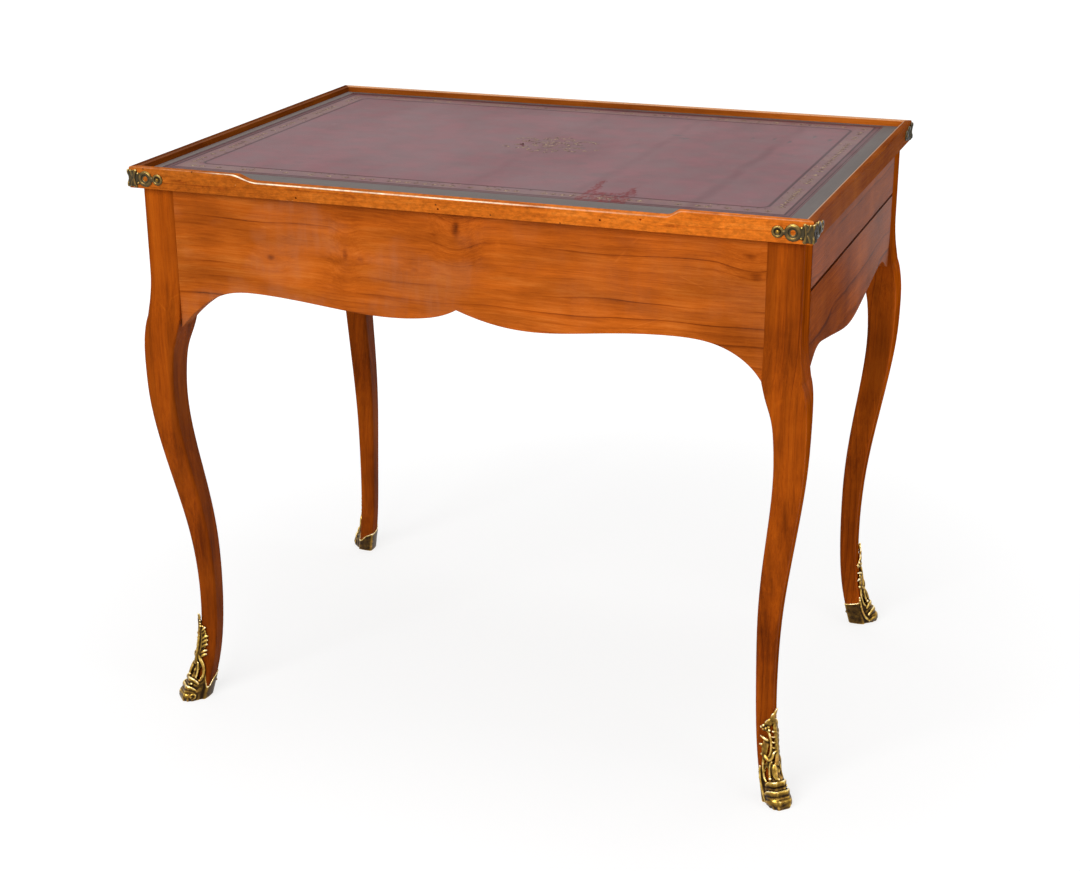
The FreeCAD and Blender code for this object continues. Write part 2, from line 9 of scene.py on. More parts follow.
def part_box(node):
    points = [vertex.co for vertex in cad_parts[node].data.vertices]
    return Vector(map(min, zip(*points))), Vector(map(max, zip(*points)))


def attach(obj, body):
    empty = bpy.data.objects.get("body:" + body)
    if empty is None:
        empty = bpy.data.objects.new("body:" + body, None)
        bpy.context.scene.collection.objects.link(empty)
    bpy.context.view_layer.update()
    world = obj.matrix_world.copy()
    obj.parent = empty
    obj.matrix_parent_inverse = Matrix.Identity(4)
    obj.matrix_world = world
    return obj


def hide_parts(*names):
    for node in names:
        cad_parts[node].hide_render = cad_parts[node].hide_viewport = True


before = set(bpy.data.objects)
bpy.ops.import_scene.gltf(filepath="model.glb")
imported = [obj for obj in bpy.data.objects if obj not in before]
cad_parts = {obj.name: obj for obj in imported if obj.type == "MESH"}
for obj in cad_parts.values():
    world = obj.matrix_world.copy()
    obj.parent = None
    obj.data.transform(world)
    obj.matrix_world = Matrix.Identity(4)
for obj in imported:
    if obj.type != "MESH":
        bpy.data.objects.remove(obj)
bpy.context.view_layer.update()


# The legs are four cabriole legs of solid cherry, each sawn from one baulk with its square post
# left on, then rounded with a spokeshave, oiled and French polished.
class Wire:
    """What a node puts out, in a form that formulas can be written with."""

    def __init__(self, socket):
        self.socket = socket
        self.tree = socket.id_data

    def __add__(self, other):
        return maths("ADD", self, other)

    def __sub__(self, other):
        return maths("SUBTRACT", self, other)

    def __rsub__(self, other):
        return maths("SUBTRACT", other, self)

    def __mul__(self, other):
        return maths("MULTIPLY", self, other)

    def __truediv__(self, other):
        return maths("DIVIDE", self, other)

    def __abs__(self):
        return maths("ABSOLUTE", self)

    __radd__ = __add__


def set_inputs(node, inputs):
    """Sets a node's sockets to values, or joins them to wires."""
    for socket, value in inputs.items():
        if isinstance(value, Wire):
            node.id_data.links.new(value.socket, node.inputs[socket])
        else:
            node.inputs[socket].default_value = value


def new_node(tree, kind, inputs=None, **settings):
    """A node with its settings made and its sockets set."""
    node = tree.nodes.new(kind)
    for setting, value in settings.items():
        setattr(node, setting, value)
    set_inputs(node, inputs or {})
    return node


def wire(tree, kind, inputs=None, output=0, **settings):
    """What a new node puts out."""
    return Wire(new_node(tree, kind, inputs, **settings).outputs[output])


def maths(operation, *values):
    """One operation on numbers or on vectors, of which at least one is a wire."""
    wires = [value for value in values if isinstance(value, Wire)]
    on_vectors = any(value.socket.type == "VECTOR" for value in wires)
    kind = "ShaderNodeVectorMath" if on_vectors else "ShaderNodeMath"
    output = "Value" if operation == "LENGTH" else 0
    return wire(wires[0].tree, kind, dict(enumerate(values)), output, operation=operation)


def most(first, *others):
    """The greatest of some values."""
    for value in others:
        first = maths("MAXIMUM", first, value)
    return first


def parts(vector):
    """The three parts of a vector."""
    return [Wire(part) for part in new_node(vector.tree, "ShaderNodeSeparateXYZ", {0: vector}).outputs]


def noise(vector, scale, detail=2.0, rough=0.5):
    """Soft random values; scale is how many swings a metre holds, one for all axes or one for each."""
    stretched = vector * (scale if isinstance(scale, tuple) else (scale,) * 3)
    inputs = {"Vector": stretched, "Scale": 1.0, "Detail": detail, "Roughness": rough}
    return wire(vector.tree, "ShaderNodeTexNoise", inputs)


def ease(value, low, high, to_low=0.0, to_high=1.0):
    """Goes smoothly from one value to the other while what is given goes from low to high."""
    inputs = {"Value": value, "From Min": low, "From Max": high, "To Min": to_low, "To Max": to_high}
    return wire(value.tree, "ShaderNodeMapRange", inputs, interpolation_type="SMOOTHSTEP")


def shaded(colour, share):
    """A colour made darker or lighter by a share."""
    return wire(colour.tree, "ShaderNodeVectorMath", {0: colour, "Scale": share}, operation="SCALE")


def ramp(share, stops):
    """A row of colours, each at its place from 0 to 1."""
    node = new_node(share.tree, "ShaderNodeValToRGB", {0: share})
    elements = node.color_ramp.elements
    while len(elements) < len(stops):
        elements.new(0.5)
    for element, (place, colour) in zip(elements, stops):
        element.position = place
        element.color = (*colour, 1.0)
    return Wire(node.outputs[0])


def open_group(tree, inputs):
    """Gives a node group its named inputs, and gives back their wires."""
    for label, kind, value in inputs:
        tree.interface.new_socket(label, in_out="INPUT", socket_type=kind).default_value = value
    return {socket.name: Wire(socket) for socket in tree.nodes.new("NodeGroupInput").outputs}


def close_group(group, **outputs):
    """Ends a shader group with named values."""
    for label in outputs:
        group.interface.new_socket(label, in_out="OUTPUT", socket_type="NodeSocketFloat")
    new_node(group, "NodeGroupOutput", outputs)
    return group


def place_group(tree, group, **inputs):
    """Puts a shader group into a material, and gives back its named wires."""
    node = new_node(tree, "ShaderNodeGroup", node_tree=group)
    set_inputs(node, {label.replace("_", " ").title(): value for label, value in inputs.items()})
    return {socket.name: Wire(socket) for socket in node.outputs}


def wood_figure_group():
    """Growth lines, fibres, pores and soft cross bands of a board whose length runs along X."""
    group = bpy.data.node_groups.new("wood_figure", "ShaderNodeTree")
    given = open_group(group, [
        ("Vector", "NodeSocketVector", (0, 0, 0)), ("Pith", "NodeSocketVector", (0, 0.1, 0.1)),
        ("Ring Spacing", "NodeSocketFloat", 0.008), ("Waviness", "NodeSocketFloat", 0.012),
        ("Bend", "NodeSocketFloat", 0.0)])
    place = given["Vector"]
    across = maths("LENGTH", (place - given["Pith"]) * (0, 1, 1))
    sway = noise(place, (2.2, 6, 6)) - 0.5
    ripple = noise(place, (8, 24, 24)) - 0.5
    drift = ripple * 0.0060 + sway * given["Waviness"] + given["Bend"]
    rings = (across + drift) / given["Ring Spacing"]
    within = maths("FRACT", rings)
    growth = ease(within, 0.30, 0.88) * 0.45 + ease(within, 0.76, 0.90) * 0.95
    late = growth * ease(within, 0.90, 1.0, 1.0, 0.0)
    grain = place + wire(group, "ShaderNodeCombineXYZ", {1: drift, 2: drift})
    year = wire(group, "ShaderNodeTexWhiteNoise", {"W": maths("FLOOR", rings)}, noise_dimensions="1D")
    strength = maths("POWER", year, 1.6) * ease(noise(place, (4, 30, 30)), 0.36, 0.62)
    fibre = noise(grain, (14, 460, 460), 3.0, 0.6) * 0.6 + noise(grain, (40, 1500, 1500)) * 0.4
    bands = noise(place, (13, 7, 7), 3.0) * 0.36 + noise(place, (3, 11, 11)) * 0.30
    bands = bands + noise(grain, (6, 75, 75), 4.0, 0.6) * 0.34
    pores = ease(noise(grain, (150, 2300, 2300), 1.0), 0.62, 0.72)
    return close_group(group, Lines=late * strength, Fibre=fibre, Bands=bands, Pores=pores)


def wear_group():
    """Grime that gathers in patches, and rubbed pale spots, over a polished surface."""
    group = bpy.data.node_groups.new("handling_wear", "ShaderNodeTree")
    given = open_group(group, [("Vector", "NodeSocketVector", (0, 0, 0)),
                               ("Patch Size", "NodeSocketFloat", 0.05)])
    patches = given["Vector"] / given["Patch Size"]
    grime = ease(noise(patches, 1.0, 4.0, 0.65), 0.52, 0.72)
    rubbed_and_highlight = ease(noise(patches, 2.6, 5.0, 0.7), 0.60, 0.74)
    edges = wire(group, "ShaderNodeTexVoronoi", {"Vector": patches * (0.16, 1.0, 1.0), "Scale": 1.6},
                 feature="DISTANCE_TO_EDGE")
    scratches = ease(edges, 0.0, 0.010, 1.0, 0.0) * ease(noise(patches, (0.6, 1.7, 1.7)), 0.52, 0.62)
    return close_group(group, Grime=grime, Rubbed=rubbed_and_highlight, Scratches=scratches)


wood_figure = wood_figure_group()
handling_wear = wear_group()
CHERRY_TONES = [(0.0, (0.100, 0.017, 0.001)), (0.34, (0.31, 0.058, 0.003)),
                (0.56, (0.465, 0.098, 0.007)), (0.78, (0.59, 0.155, 0.020)), (1.0, (0.70, 0.25, 0.06))]
LEG_TONES = [(0.0, (0.075, 0.011, 0.001)), (0.34, (0.20, 0.033, 0.001)),
             (0.56, (0.335, 0.062, 0.002)), (0.78, (0.43, 0.090, 0.004)), (1.0, (0.55, 0.15, 0.015))]
ALONG_X = (0, 0, 0)
ALONG_Y = (0, 0, -math.pi / 2)
ALONG_Z = (0, math.pi / 2, 0)


def new_material(name):
    """A bare material, its tree and its shader."""
    material = bpy.data.materials.new(name)
    material.use_nodes = True
    tree = material.node_tree
    return material, tree, tree.nodes["Principled BSDF"]


def object_place(tree, turn=ALONG_X, shift=(0, 0, 0)):
    """Object coordinates, turned so that the board's length is X."""
    place = wire(tree, "ShaderNodeTexCoord", output="Object")
    return wire(tree, "ShaderNodeMapping", {"Vector": place, "Rotation": turn, "Location": shift})


def face_parts(tree):
    """The three parts of the way a surface faces."""
    return parts(wire(tree, "ShaderNodeTexCoord", output="Normal"))


def polish(shader, colour, roughness, height, depth, shine):
    """Joins a finish to its shader: colour, sheen, and the shallow relief left in the surface."""
    bump = wire(shader.id_data, "ShaderNodeBump", {"Strength": 1.0, "Distance": depth, "Height": height})
    set_inputs(shader, {"Base Color": colour, "Roughness": roughness, "Normal": bump,
                        "Specular IOR Level": shine})


def dulled(tree, shine, left):
    """The polish's mirror, of which old shellac keeps only a share where it is seen along its length."""
    edge_on = wire(tree, "ShaderNodeLayerWeight", {"Blend": 0.5}, "Facing")
    return ease(edge_on, 0.50, 0.80, 1.0, left) * shine


def knot_marks(place, knots):
    """Dark knot hearts, and how far each pushes the growth lines around it aside."""
    core = bend = 0.0
    if not knots:
        return core, bend
    ragged = wire(place.tree, "ShaderNodeTexNoise", {"Vector": place, "Scale": 160.0, "Detail": 3.0}, 1)
    place = place + shaded(ragged, 0.004)
    for centre, length, height, depth in knots:
        away = place - [c + 0.002 for c in centre]
        reach = maths("LENGTH", away * (1 / length, 1 / max(length, height), 1 / height))
        core = most(core, ease(reach, 0.0, 1.25, 1.0, 0.0) * (depth * 0.9))
        bend = bend + ease(reach, 0.0, 6.5, 1.0, 0.0) * (height * 0.9)
    return core, bend


def wood(name, turn, pith, ring_spacing, waviness, tones=CHERRY_TONES, shift=(0, 0, 0), lift=0.0,
         lines=0.26, knots=(), gloss=0.38, shine=0.03, veil=0.05, marks=None):
    """A polished board; knots are (centre, length, height, depth of colour) on its face, and marks
    changes the colour and shine of a finished board where it has been soiled or handled, and where light and
    shade are painted on it."""
    material, tree, shader = new_material(name)
    as_it_stands = object_place(tree)
    place = object_place(tree, turn, shift)
    core, bend = knot_marks(as_it_stands, knots)
    figure = place_group(tree, wood_figure, vector=place, pith=pith, ring_spacing=ring_spacing,
                         waviness=waviness, bend=bend)
    wear_and_painted_light = place_group(tree, handling_wear, vector=place, patch_size=0.06)
    tone = figure["Bands"] * 1.30 + figure["Fibre"] * 0.62 + (lift - 0.40)
    tone = tone - figure["Lines"] * lines - figure["Pores"] * 0.07 - core
    tone = tone - wear_and_painted_light["Grime"] * 0.07 + wear_and_painted_light["Rubbed"] * 0.05 + wear_and_painted_light["Scratches"] * 0.10
    colour = ramp(tone, tones)
    if marks:
        colour, shine = marks(as_it_stands, colour, shine)
    rough = figure["Fibre"] * 0.12 + wear_and_painted_light["Rubbed"] * 0.10 + gloss
    height = figure["Fibre"] - figure["Pores"] * 0.5 - wear_and_painted_light["Scratches"] * 0.4
    polish(shader, colour, rough, height, 0.00012, dulled(tree, shine, veil))
    return material


def finish_nodes(material, *names):
    """Gives the shown CAD pieces their finish."""
    for name in names:
        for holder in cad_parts[name].material_slots:
            holder.material = material


CORNERS = ("front_left", "front_right", "back_left", "back_right")
LEG_SHIFTS = ((0.31, 0.02, 0.0), (0.0, 0.0, 0.0), (0.62, -0.03, 0.01), (0.95, 0.05, 0.02))
# The post and knee shares are painted light and shade, set leg by leg.
POST_PAINTED_LIGHT = (0.90, 1.05, 1.10, 1.20)
KNEE_PAINTED_LIGHT = (0.84, 0.97, 0.90, 1.12)
OUTWARD = (-1, 1, -1, 1)


def leg_streaks_and_painted_light(painted_post_light, painted_knee_light, outward):
    """Marks for a leg: painted light and shade that go from the post down past the knee, set leg by leg,
    streaks along its length, and painted light on its end face."""
    def marks(place, colour, shine):
        # Painted light and shade, changing from the knee up to the post.
        colour = shaded(colour, ease(parts(place)[2], 0.44, 0.62, painted_knee_light, painted_post_light))
        streak = noise(place, (60, 60, 3.5), 3.0, 0.6)
        colour = shaded(colour, ease(streak, 0.36, 0.64, 0.80, 1.18))
        # Painted light on the leg's end face.
        end_face = face_parts(place.tree)[0] * outward
        return shaded(colour, ease(end_face, 0.55, 0.90, 1.0, 1.50)), shine
    return marks


for corner, shift, *wear_and_painted_light in zip(CORNERS, LEG_SHIFTS, POST_PAINTED_LIGHT, KNEE_PAINTED_LIGHT, OUTWARD):
    cherry_leg = wood("cherry_leg_" + corner, ALONG_Z, (0, 0.02, 0.05), 0.0065, 0.016, LEG_TONES, shift,
                      lift=-0.04, lines=0.16, veil=0.0, marks=leg_streaks_and_painted_light(*wear_and_painted_light))
    finish_nodes(cherry_leg, "leg_" + corner)


# The aprons and end rails are cherry boards with a shaped lower edge, sawn with a bow saw and
# tenoned into the posts. The front one shows small knots and long, gently wandering growth lines.
FRONT_KNOTS = [
    ((-0.239, -0.289, 0.630), 0.006, 0.005, 0.40),
    ((-0.140, -0.289, 0.642), 0.004, 0.009, 0.34),
    ((-0.120, -0.289, 0.638), 0.005, 0.004, 0.24),
    ((-0.051, -0.289, 0.631), 0.006, 0.003, 0.22),
    ((0.002, -0.289, 0.684), 0.006, 0.013, 0.45),
    ((-0.027, -0.289, 0.676), 0.008, 0.002, 0.22),
    ((0.350, -0.289, 0.682), 0.008, 0.005, 0.25),
    ((0.357, -0.289, 0.660), 0.008, 0.006, 0.30),
]
BACK_KNOTS = [
    ((-0.21, 0.289, 0.63), 0.007, 0.006, 0.40),
    ((0.12, 0.289, 0.67), 0.006, 0.007, 0.38),
    ((0.27, 0.289, 0.61), 0.005, 0.005, 0.30),
]
GAP_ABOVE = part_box("end_rail_right")[0][2]
GAP_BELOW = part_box("drawer_right_front")[1][2]
DRAWER_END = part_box("drawer_right_front")[1][1]


def mix_colour(share, first, second):
    """A wire's colour with a share of a plain one laid over it."""
    return wire(first.tree, "ShaderNodeMix", {0: share, 6: first, 7: (*second, 1.0)}, 2, data_type="RGBA")


def apron_painted_shade_and_sheen(place, colour, shine):
    """A long board: painted shade towards the posts, painted light growing towards the right, cloudy in
    tone, and a pale painted sheen in soft patches, strongest on the left.
    """
    x = parts(place)[0]
    # Painted shade towards the posts, and painted light that grows towards the right.
    colour = shaded(colour, ease(abs(x), 0.20, 0.36, 1.0, 0.88) * ease(x, -0.36, 0.36, 0.95, 1.06))
    cloud = noise(place, (6, 9, 34), 4.0, 0.6)
    colour = shaded(colour, ease(cloud, 0.34, 0.66, 0.84, 1.13))
    # A pale painted sheen, in soft patches, strongest on the left.
    sheen_streaks = ease(noise(place, (75, 9, 14), 3.0, 0.6), 0.36, 0.64, 0.45, 1.0)
    painted_sheen = ease(noise(place + (3.1, 0, 0), (9, 9, 16), 3.0), 0.48, 0.66, 0.0, 0.38)
    painted_sheen = painted_sheen * sheen_streaks * ease(x, -0.10, 0.12, 1.0, 0.3)
    return mix_colour(painted_sheen, colour, (0.41, 0.150, 0.066)), shine


def uneven_polish_and_painted_shade(place, colour, shine):
    """An end board: old polish laid in uneven bands, painted shade along the arrises of the drawer's gap,
    painted light and shade along a slant across it, and more shine towards its back and top.
    """
    _, across, height = parts(place)
    colour = shaded(colour, ease(noise(place, (9, 9, 5), 3.0), 0.34, 0.66, 0.72, 1.15))
    # Painted shade along the arrises either side of the drawer's gap.
    above = (ease(height, GAP_ABOVE + 0.0005, GAP_ABOVE + 0.0016, 1.0, 0.0)
             * maths("GREATER_THAN", height, GAP_ABOVE - 0.0004))
    below = (ease(height, GAP_BELOW - 0.0016, GAP_BELOW - 0.0005)
             * maths("LESS_THAN", height, GAP_BELOW + 0.0004))
    ends = ease(abs(across), DRAWER_END - 0.0014, DRAWER_END - 0.0005)
    end_face = ease(abs(face_parts(place.tree)[0]), 0.35, 0.70, 0.25, 1.0)
    gap_shade = most(above, below, ends * 0.8) * end_face
    colour = mix_colour(gap_shade, colour, (0.010, 0.004, 0.002))
    # Painted light and shade along a slant across the board.
    slant = (height - 0.63) * 1.4 + across
    colour = shaded(colour, ease(slant, -0.20, 0.10, 1.08, 0.84) * ease(slant, -0.36, -0.28, 0.80, 1.0))
    near = ease(height, GAP_BELOW, GAP_ABOVE, 1.0, 6.0)
    far = ease(height, GAP_BELOW, GAP_ABOVE, 26.0, 9.0)
    return colour, ease(slant, -0.16, 0.24, near, far) * shine * (1.0 - gap_shade)


finish_nodes(wood("cherry_apron_front", ALONG_X, (0, -0.20, 0.47), 0.0085, 0.036, knots=FRONT_KNOTS,
                  lines=0.40, marks=apron_painted_shade_and_sheen), "apron_front")
finish_nodes(wood("cherry_apron_back", ALONG_X, (0, 0.21, 0.50), 0.0085, 0.036, shift=(0.7, 0, 0),
                  knots=BACK_KNOTS, lines=0.40, marks=apron_painted_shade_and_sheen), "apron_back")
# The end rails are lowered in tone, as painted shade on the end faces.
finish_nodes(wood("cherry_end_rail", ALONG_Y, (0, 0.1, 0.40), 0.008, 0.022, shift=(0.4, 0, 0), lift=-0.18,
                  shine=0.022, veil=0.16, marks=uneven_polish_and_painted_shade), "end_rail_left", "end_rail_right")

# The shoes are four castings of gilt bronze from one model, slipped over the feet and pinned at the
# heel and the leaf. Each has a stepped toe, two openings, a leaf and berries above them, and a plain heel.
scene = bpy.context.scene
MM = 0.001
FOOT_MIDDLE = (394.4, 263.4)
FOOT_HEIGHTS = (1.5, 25.0, 60.0, 110.0, 170.0)
FOOT_DRIFT = np.polyfit(FOOT_HEIGHTS, np.multiply((0.0, -5.0, -11.1, -15.4, -16.6), math.sqrt(2)), 4)
FOOT_SIDE = np.polyfit(FOOT_HEIGHTS, (23.0, 23.2, 23.4, 23.8, 25.0), 2)
FOOT_FACE = 24.0
FOOT_WIDTH_SHARE = 0.915
ARRIS_INSET = 1.66
SECTION_POWER = 1.18


def on_foot(way_round, height, lift):
    """Places on the foot, in mm: round from its outer arris, up from the floor, off the wood."""
    half = np.polyval(FOOT_SIDE, height) / math.sqrt(2)
    deep = half - ARRIS_INSET
    wide = half * FOOT_WIDTH_SHARE - ARRIS_INSET
    faces = np.abs(way_round) / FOOT_FACE
    turn = np.arctan2(np.sign(way_round) * wide * (1 - np.abs(1 - faces)), deep * (1 - faces))
    cos, sin = np.cos(turn), np.sin(turn)
    power = SECTION_POWER
    reach = (np.abs(cos / deep) ** power + np.abs(sin / wide) ** power) ** (-1 / power)
    out, side = reach * cos, reach * sin
    facing = np.stack((np.sign(out) * np.abs(out) ** (power - 1) / deep ** power,
                       np.sign(side) * np.abs(side) ** (power - 1) / wide ** power,
                       np.zeros_like(out)), axis=-1)
    facing /= np.linalg.norm(facing, axis=-1, keepdims=True)
    places = np.stack((out + np.polyval(FOOT_DRIFT, height), side, height + 0 * out), axis=-1)
    return places + facing * np.asarray(lift)[..., None], facing


def flow(points, steps=5):
    """A fair run of values through the given rows."""
    rows = np.array(points, float)
    ends = np.vstack((2 * rows[0] - rows[1], rows, 2 * rows[-1] - rows[-2]))
    part = np.linspace(0, 1, steps, endpoint=False)[:, None]
    runs = []
    for before, first, last, after in zip(ends, ends[1:], ends[2:], ends[3:]):
        runs.append(0.5 * (2 * first + (last - before) * part
                           + (2 * before - 5 * first + 4 * last - after) * part ** 2
                           + (3 * first - before - 3 * last + after) * part ** 3))
    return np.vstack(runs + [rows[-1:]])


def add_faces(shape, points, faces):
    start = len(shape[0])
    shape[0].extend(tuple(point) for point in points)
    shape[1].extend(tuple(start + i for i in face) for face in faces)


def strand(shape, surface, points, sides=10):
    """A rounded strand laid on a surface: rows of way round, height, lift, half width, half height."""
    rows = flow(points)
    centre, facing = surface(rows[:, 0], rows[:, 1], rows[:, 2])
    along = np.gradient(centre, axis=0)
    along /= np.linalg.norm(along, axis=1, keepdims=True)
    sideways = np.cross(along, facing)
    sideways /= np.linalg.norm(sideways, axis=1, keepdims=True)
    facing = np.cross(sideways, along)
    angles = np.arange(sides) * 2 * math.pi / sides
    loops = (centre[:, None] + sideways[:, None] * (rows[:, 3, None] * np.cos(angles))[..., None]
             + facing[:, None] * (rows[:, 4, None] * np.sin(angles))[..., None])
    tips = [centre[0] - along[0] * rows[0, 3] * 0.6, centre[-1] + along[-1] * rows[-1, 3] * 0.6]
    last = (len(rows) - 1) * sides
    faces = []
    for i in range(sides):
        j = (i + 1) % sides
        faces += [(row + i, row + j, row + sides + j, row + sides + i) for row in range(0, last, sides)]
        faces.append((last + sides, j, i))
        faces.append((last + sides + 1, last + i, last + j))
    add_faces(shape, [*loops.reshape(-1, 3), *tips], faces)


ball = bmesh.new()
bmesh.ops.create_icosphere(ball, subdivisions=2, radius=1.0)
BALL_POINTS = np.array([corner.co for corner in ball.verts])
BALL_FACES = [[corner.index for corner in face.verts] for face in ball.faces]
ball.free()


def bead(shape, surface, way_round, height, lift, radius):
    centre, _ = surface(np.array([way_round]), np.array([height]), np.array([lift]))
    add_faces(shape, centre + BALL_POINTS * radius, BALL_FACES)


def plate(shape, surface, rounds, heights, present, lift, sunk):
    """A cast wall over a grid of places, from below the surface to its lift, where it is present."""
    around, up = np.meshgrid(rounds, heights, indexing="ij")
    outer, _ = surface(around, up, lift(around, up))
    inner, _ = surface(around, up, np.full_like(around, -sunk))
    middle_round = (around[1:, 1:] + around[:-1, :-1]) / 2
    kept = present(middle_round, (up[1:, 1:] + up[:-1, :-1]) / 2)
    kept = np.pad(kept, 1)
    tall = len(heights)
    shift = around.size
    faces = []
    for i, j in np.argwhere(kept[1:-1, 1:-1]):
        a, b, c, d = i * tall + j, (i + 1) * tall + j, (i + 1) * tall + j + 1, i * tall + j + 1
        faces += [(a, b, c, d), (d + shift, c + shift, b + shift, a + shift)]
        beside = ((kept[i, j + 1], d, a), (kept[i + 2, j + 1], b, c),
                  (kept[i + 1, j], a, b), (kept[i + 1, j + 2], c, d))
        faces += [(q, p, p + shift, q + shift) for there, p, q in beside if not there]
    used = sorted({i for face in faces for i in face})
    order = {old: new for new, old in enumerate(used)}
    points = np.vstack((outer.reshape(-1, 3), inner.reshape(-1, 3)))[used]
    add_faces(shape, points, [[order[i] for i in face] for face in faces])


def averaged(values, edges, rounds):
    """Values over a mesh, blurred from point to point."""
    shares = np.bincount(edges.ravel(), minlength=len(values))[:, None]
    for _ in range(rounds):
        total = np.zeros_like(values)
        np.add.at(total, edges[:, 0], values[edges[:, 1]])
        np.add.at(total, edges[:, 1], values[edges[:, 0]])
        values = total / shares
    return values


def new_mesh(name, points, edges=(), faces=()):
    mesh = bpy.data.meshes.new(name)
    mesh.from_pydata(points, edges, faces)
    return mesh


def show(name, data):
    """A new object in the scene."""
    holder = bpy.data.objects.new(name, data)
    scene.collection.objects.link(holder)
    return holder


def plain_mesh(holder):
    """The mesh that an object's modifiers make, without the object."""
    mesh = bpy.data.meshes.new_from_object(holder.evaluated_get(bpy.context.evaluated_depsgraph_get()))
    bpy.data.objects.remove(holder)
    return mesh


LEVEL_RELIEF = 0.46
UPWARD_PAINTED_LIGHT = 0.22


def cast(name, shape, grain, soften):
    """Melts the laid shapes into one skin, and notes how far each place stands out of the relief, with a
    share of painted light added where it faces up."""
    points, faces = shape
    holder = show(name, new_mesh(name, [tuple(MM * c for c in point) for point in points], faces=faces))
    melt = holder.modifiers.new("melt", "REMESH")
    melt.mode = "VOXEL"
    melt.voxel_size = grain * MM
    melt.use_smooth_shade = True
    skin = plain_mesh(holder)
    points = np.zeros(len(skin.vertices) * 3)
    skin.vertices.foreach_get("co", points)
    edges = np.zeros(len(skin.edges) * 2, int)
    skin.edges.foreach_get("vertices", edges)
    points, edges = points.reshape(-1, 3), edges.reshape(-1, 2)
    points = points * 0.4 + averaged(points, edges, soften) * 0.6
    points[:, 2] = np.maximum(points[:, 2], 0.0)
    skin.vertices.foreach_set("co", points.ravel())
    skin.update()
    facing = np.zeros(points.size)
    skin.vertex_normals.foreach_get("vector", facing)
    stand = ((points - averaged(points, edges, 14)) * facing.reshape(-1, 3)).sum(axis=1)
    stand = averaged(stand[:, None], edges, 2)[:, 0]
    relief = skin.attributes.new("relief", "FLOAT", "POINT")
    # The relief value also holds painted light on faces that look up.
    relief.data.foreach_set("value", np.clip(LEVEL_RELIEF + stand / MM + UPWARD_PAINTED_LIGHT * facing[2::3], 0, 1))
    return skin


def corner_matrix(corner, middle):
    """Turns a casting from its own frame, outward then round then up, to its corner of the table."""
    signs = (1 if "right" in corner else -1, 1 if "back" in corner else -1)
    outward = Vector((*signs, 0)).normalized()
    turned = Matrix((outward, (-outward.y, outward.x, 0), (0, 0, 1))).transposed().to_4x4()
    return Matrix.Translation((signs[0] * middle[0] * MM, signs[1] * middle[1] * MM, 0)) @ turned


def add_piece(name, mesh, body, material=None, replaces=()):
    """A finished piece, riding on its body."""
    piece = show(name, mesh)
    if material:
        mesh.materials.clear()
        mesh.materials.append(material)
    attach(piece, body)
    if replaces:
        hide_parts(*replaces)
    return piece


# The brightest tones, near white, are painted glints on the highest places.
GILT_AND_GLINT_TONES = [(0.22, (0.024, 0.011, 0.003)), (0.38, (0.090, 0.045, 0.008)), (0.54, (0.24, 0.135, 0.022)),
              (0.68, (0.50, 0.31, 0.058)), (0.80, (0.86, 0.62, 0.20)), (0.94, (1.0, 0.90, 0.62))]


def gilding(name, darkness, painted_end_shade=0.0, patina=0.0):
    """Fire gilding, bright on the high places, with brown wax and dirt left in the hollows, dulled by a
    green patina; its brightest tones are painted glints, the relief it reads holds painted light on
    upward faces, and it is darker by the share given where it faces the table's ends, as painted shade."""
    material, tree, shader = new_material(name)
    place = object_place(tree)
    relief = wire(tree, "ShaderNodeAttribute", output="Fac", attribute_name="relief")
    cloud = noise(place, 170, 4.0, 0.6)
    fine = noise(place, 900)
    high = relief + cloud * 0.6 - (0.30 + darkness)
    bright = ease(high, 0.30, 0.72)
    colour = ramp(fine * 0.10 + high - 0.05, GILT_AND_GLINT_TONES)
    copper = ease(noise(place, 110), 0.54, 0.70, 0.0, 0.45)
    colour = mix_colour(copper * bright, colour, (0.52, 0.22, 0.06))
    colour = mix_colour(patina, colour, (0.095, 0.085, 0.048))
    # Painted shade where the casting faces the table's ends.
    colour = shaded(colour, ease(abs(face_parts(tree)[0]), 0.55, 0.90, 1.0, 1 - painted_end_shade))
    set_inputs(shader, {"Metallic": ease(bright, 0.0, 1.0, 0.85, 1.0)})
    polish(shader, colour, ease(high, 0.25, 0.75, 0.44, 0.15), cloud * 0.5 + fine, 0.00010, 0.3)
    return material


def shoe_mouth(way_round):
    """Height of the shoe's upper edge: low on one flank, high on the other, rising to the heel."""
    return np.interp(way_round, (-49, -36, -26, -19, -15, -9, 9, 12, 15, 19, 23, 29, 36, 49),
                     (31, 33, 35, 38, 45, 54, 54, 49, 38, 24, 17, 18, 26, 33))


def shoe_lift(way_round, height):
    """How far the shoe's outer face stands off the wood, over its toe, bands and flutes."""
    toe = np.interp(height, (0, 4, 9, 14, 20, 28, 38, 48, 60),
                    (13.0, 15.4, 15.8, 13, 9.6, 6.6, 4.4, 2.8, 1.4))
    drawn = height - 0.30 * np.minimum(way_round, 0) - 1.2 * np.sin(way_round / 2.3)
    bands = sum(rise * np.exp(-((drawn - middle) / half) ** 2)
                for middle, half, rise in ((41, 2.4, 1.2), (32, 2.8, 2.0), (23, 2.8, 2.4), (14.5, 2.8, 2.2)))
    flutes = 0.9 * np.cos(way_round * 2 * math.pi / 5.2) * np.clip((13 - height) / 6, 0, 1)
    front = np.clip(1 - (way_round / 19.5) ** 2, 0, 1) ** 1.2
    return 1.3 + (toe + bands + flutes) * front


def in_shoe(way_round, height):
    left_drop = ((way_round + 10.8) / (3.0 - (height - 36) * 0.06)) ** 2 + ((height - 36) / 9.0) ** 2 < 1
    right_drop = ((way_round - 9.2) / (2.7 - (height - 37) * 0.06)) ** 2 + ((height - 37) / 8.8) ** 2 < 1
    return (height < shoe_mouth(way_round)) & ~left_drop & ~right_drop


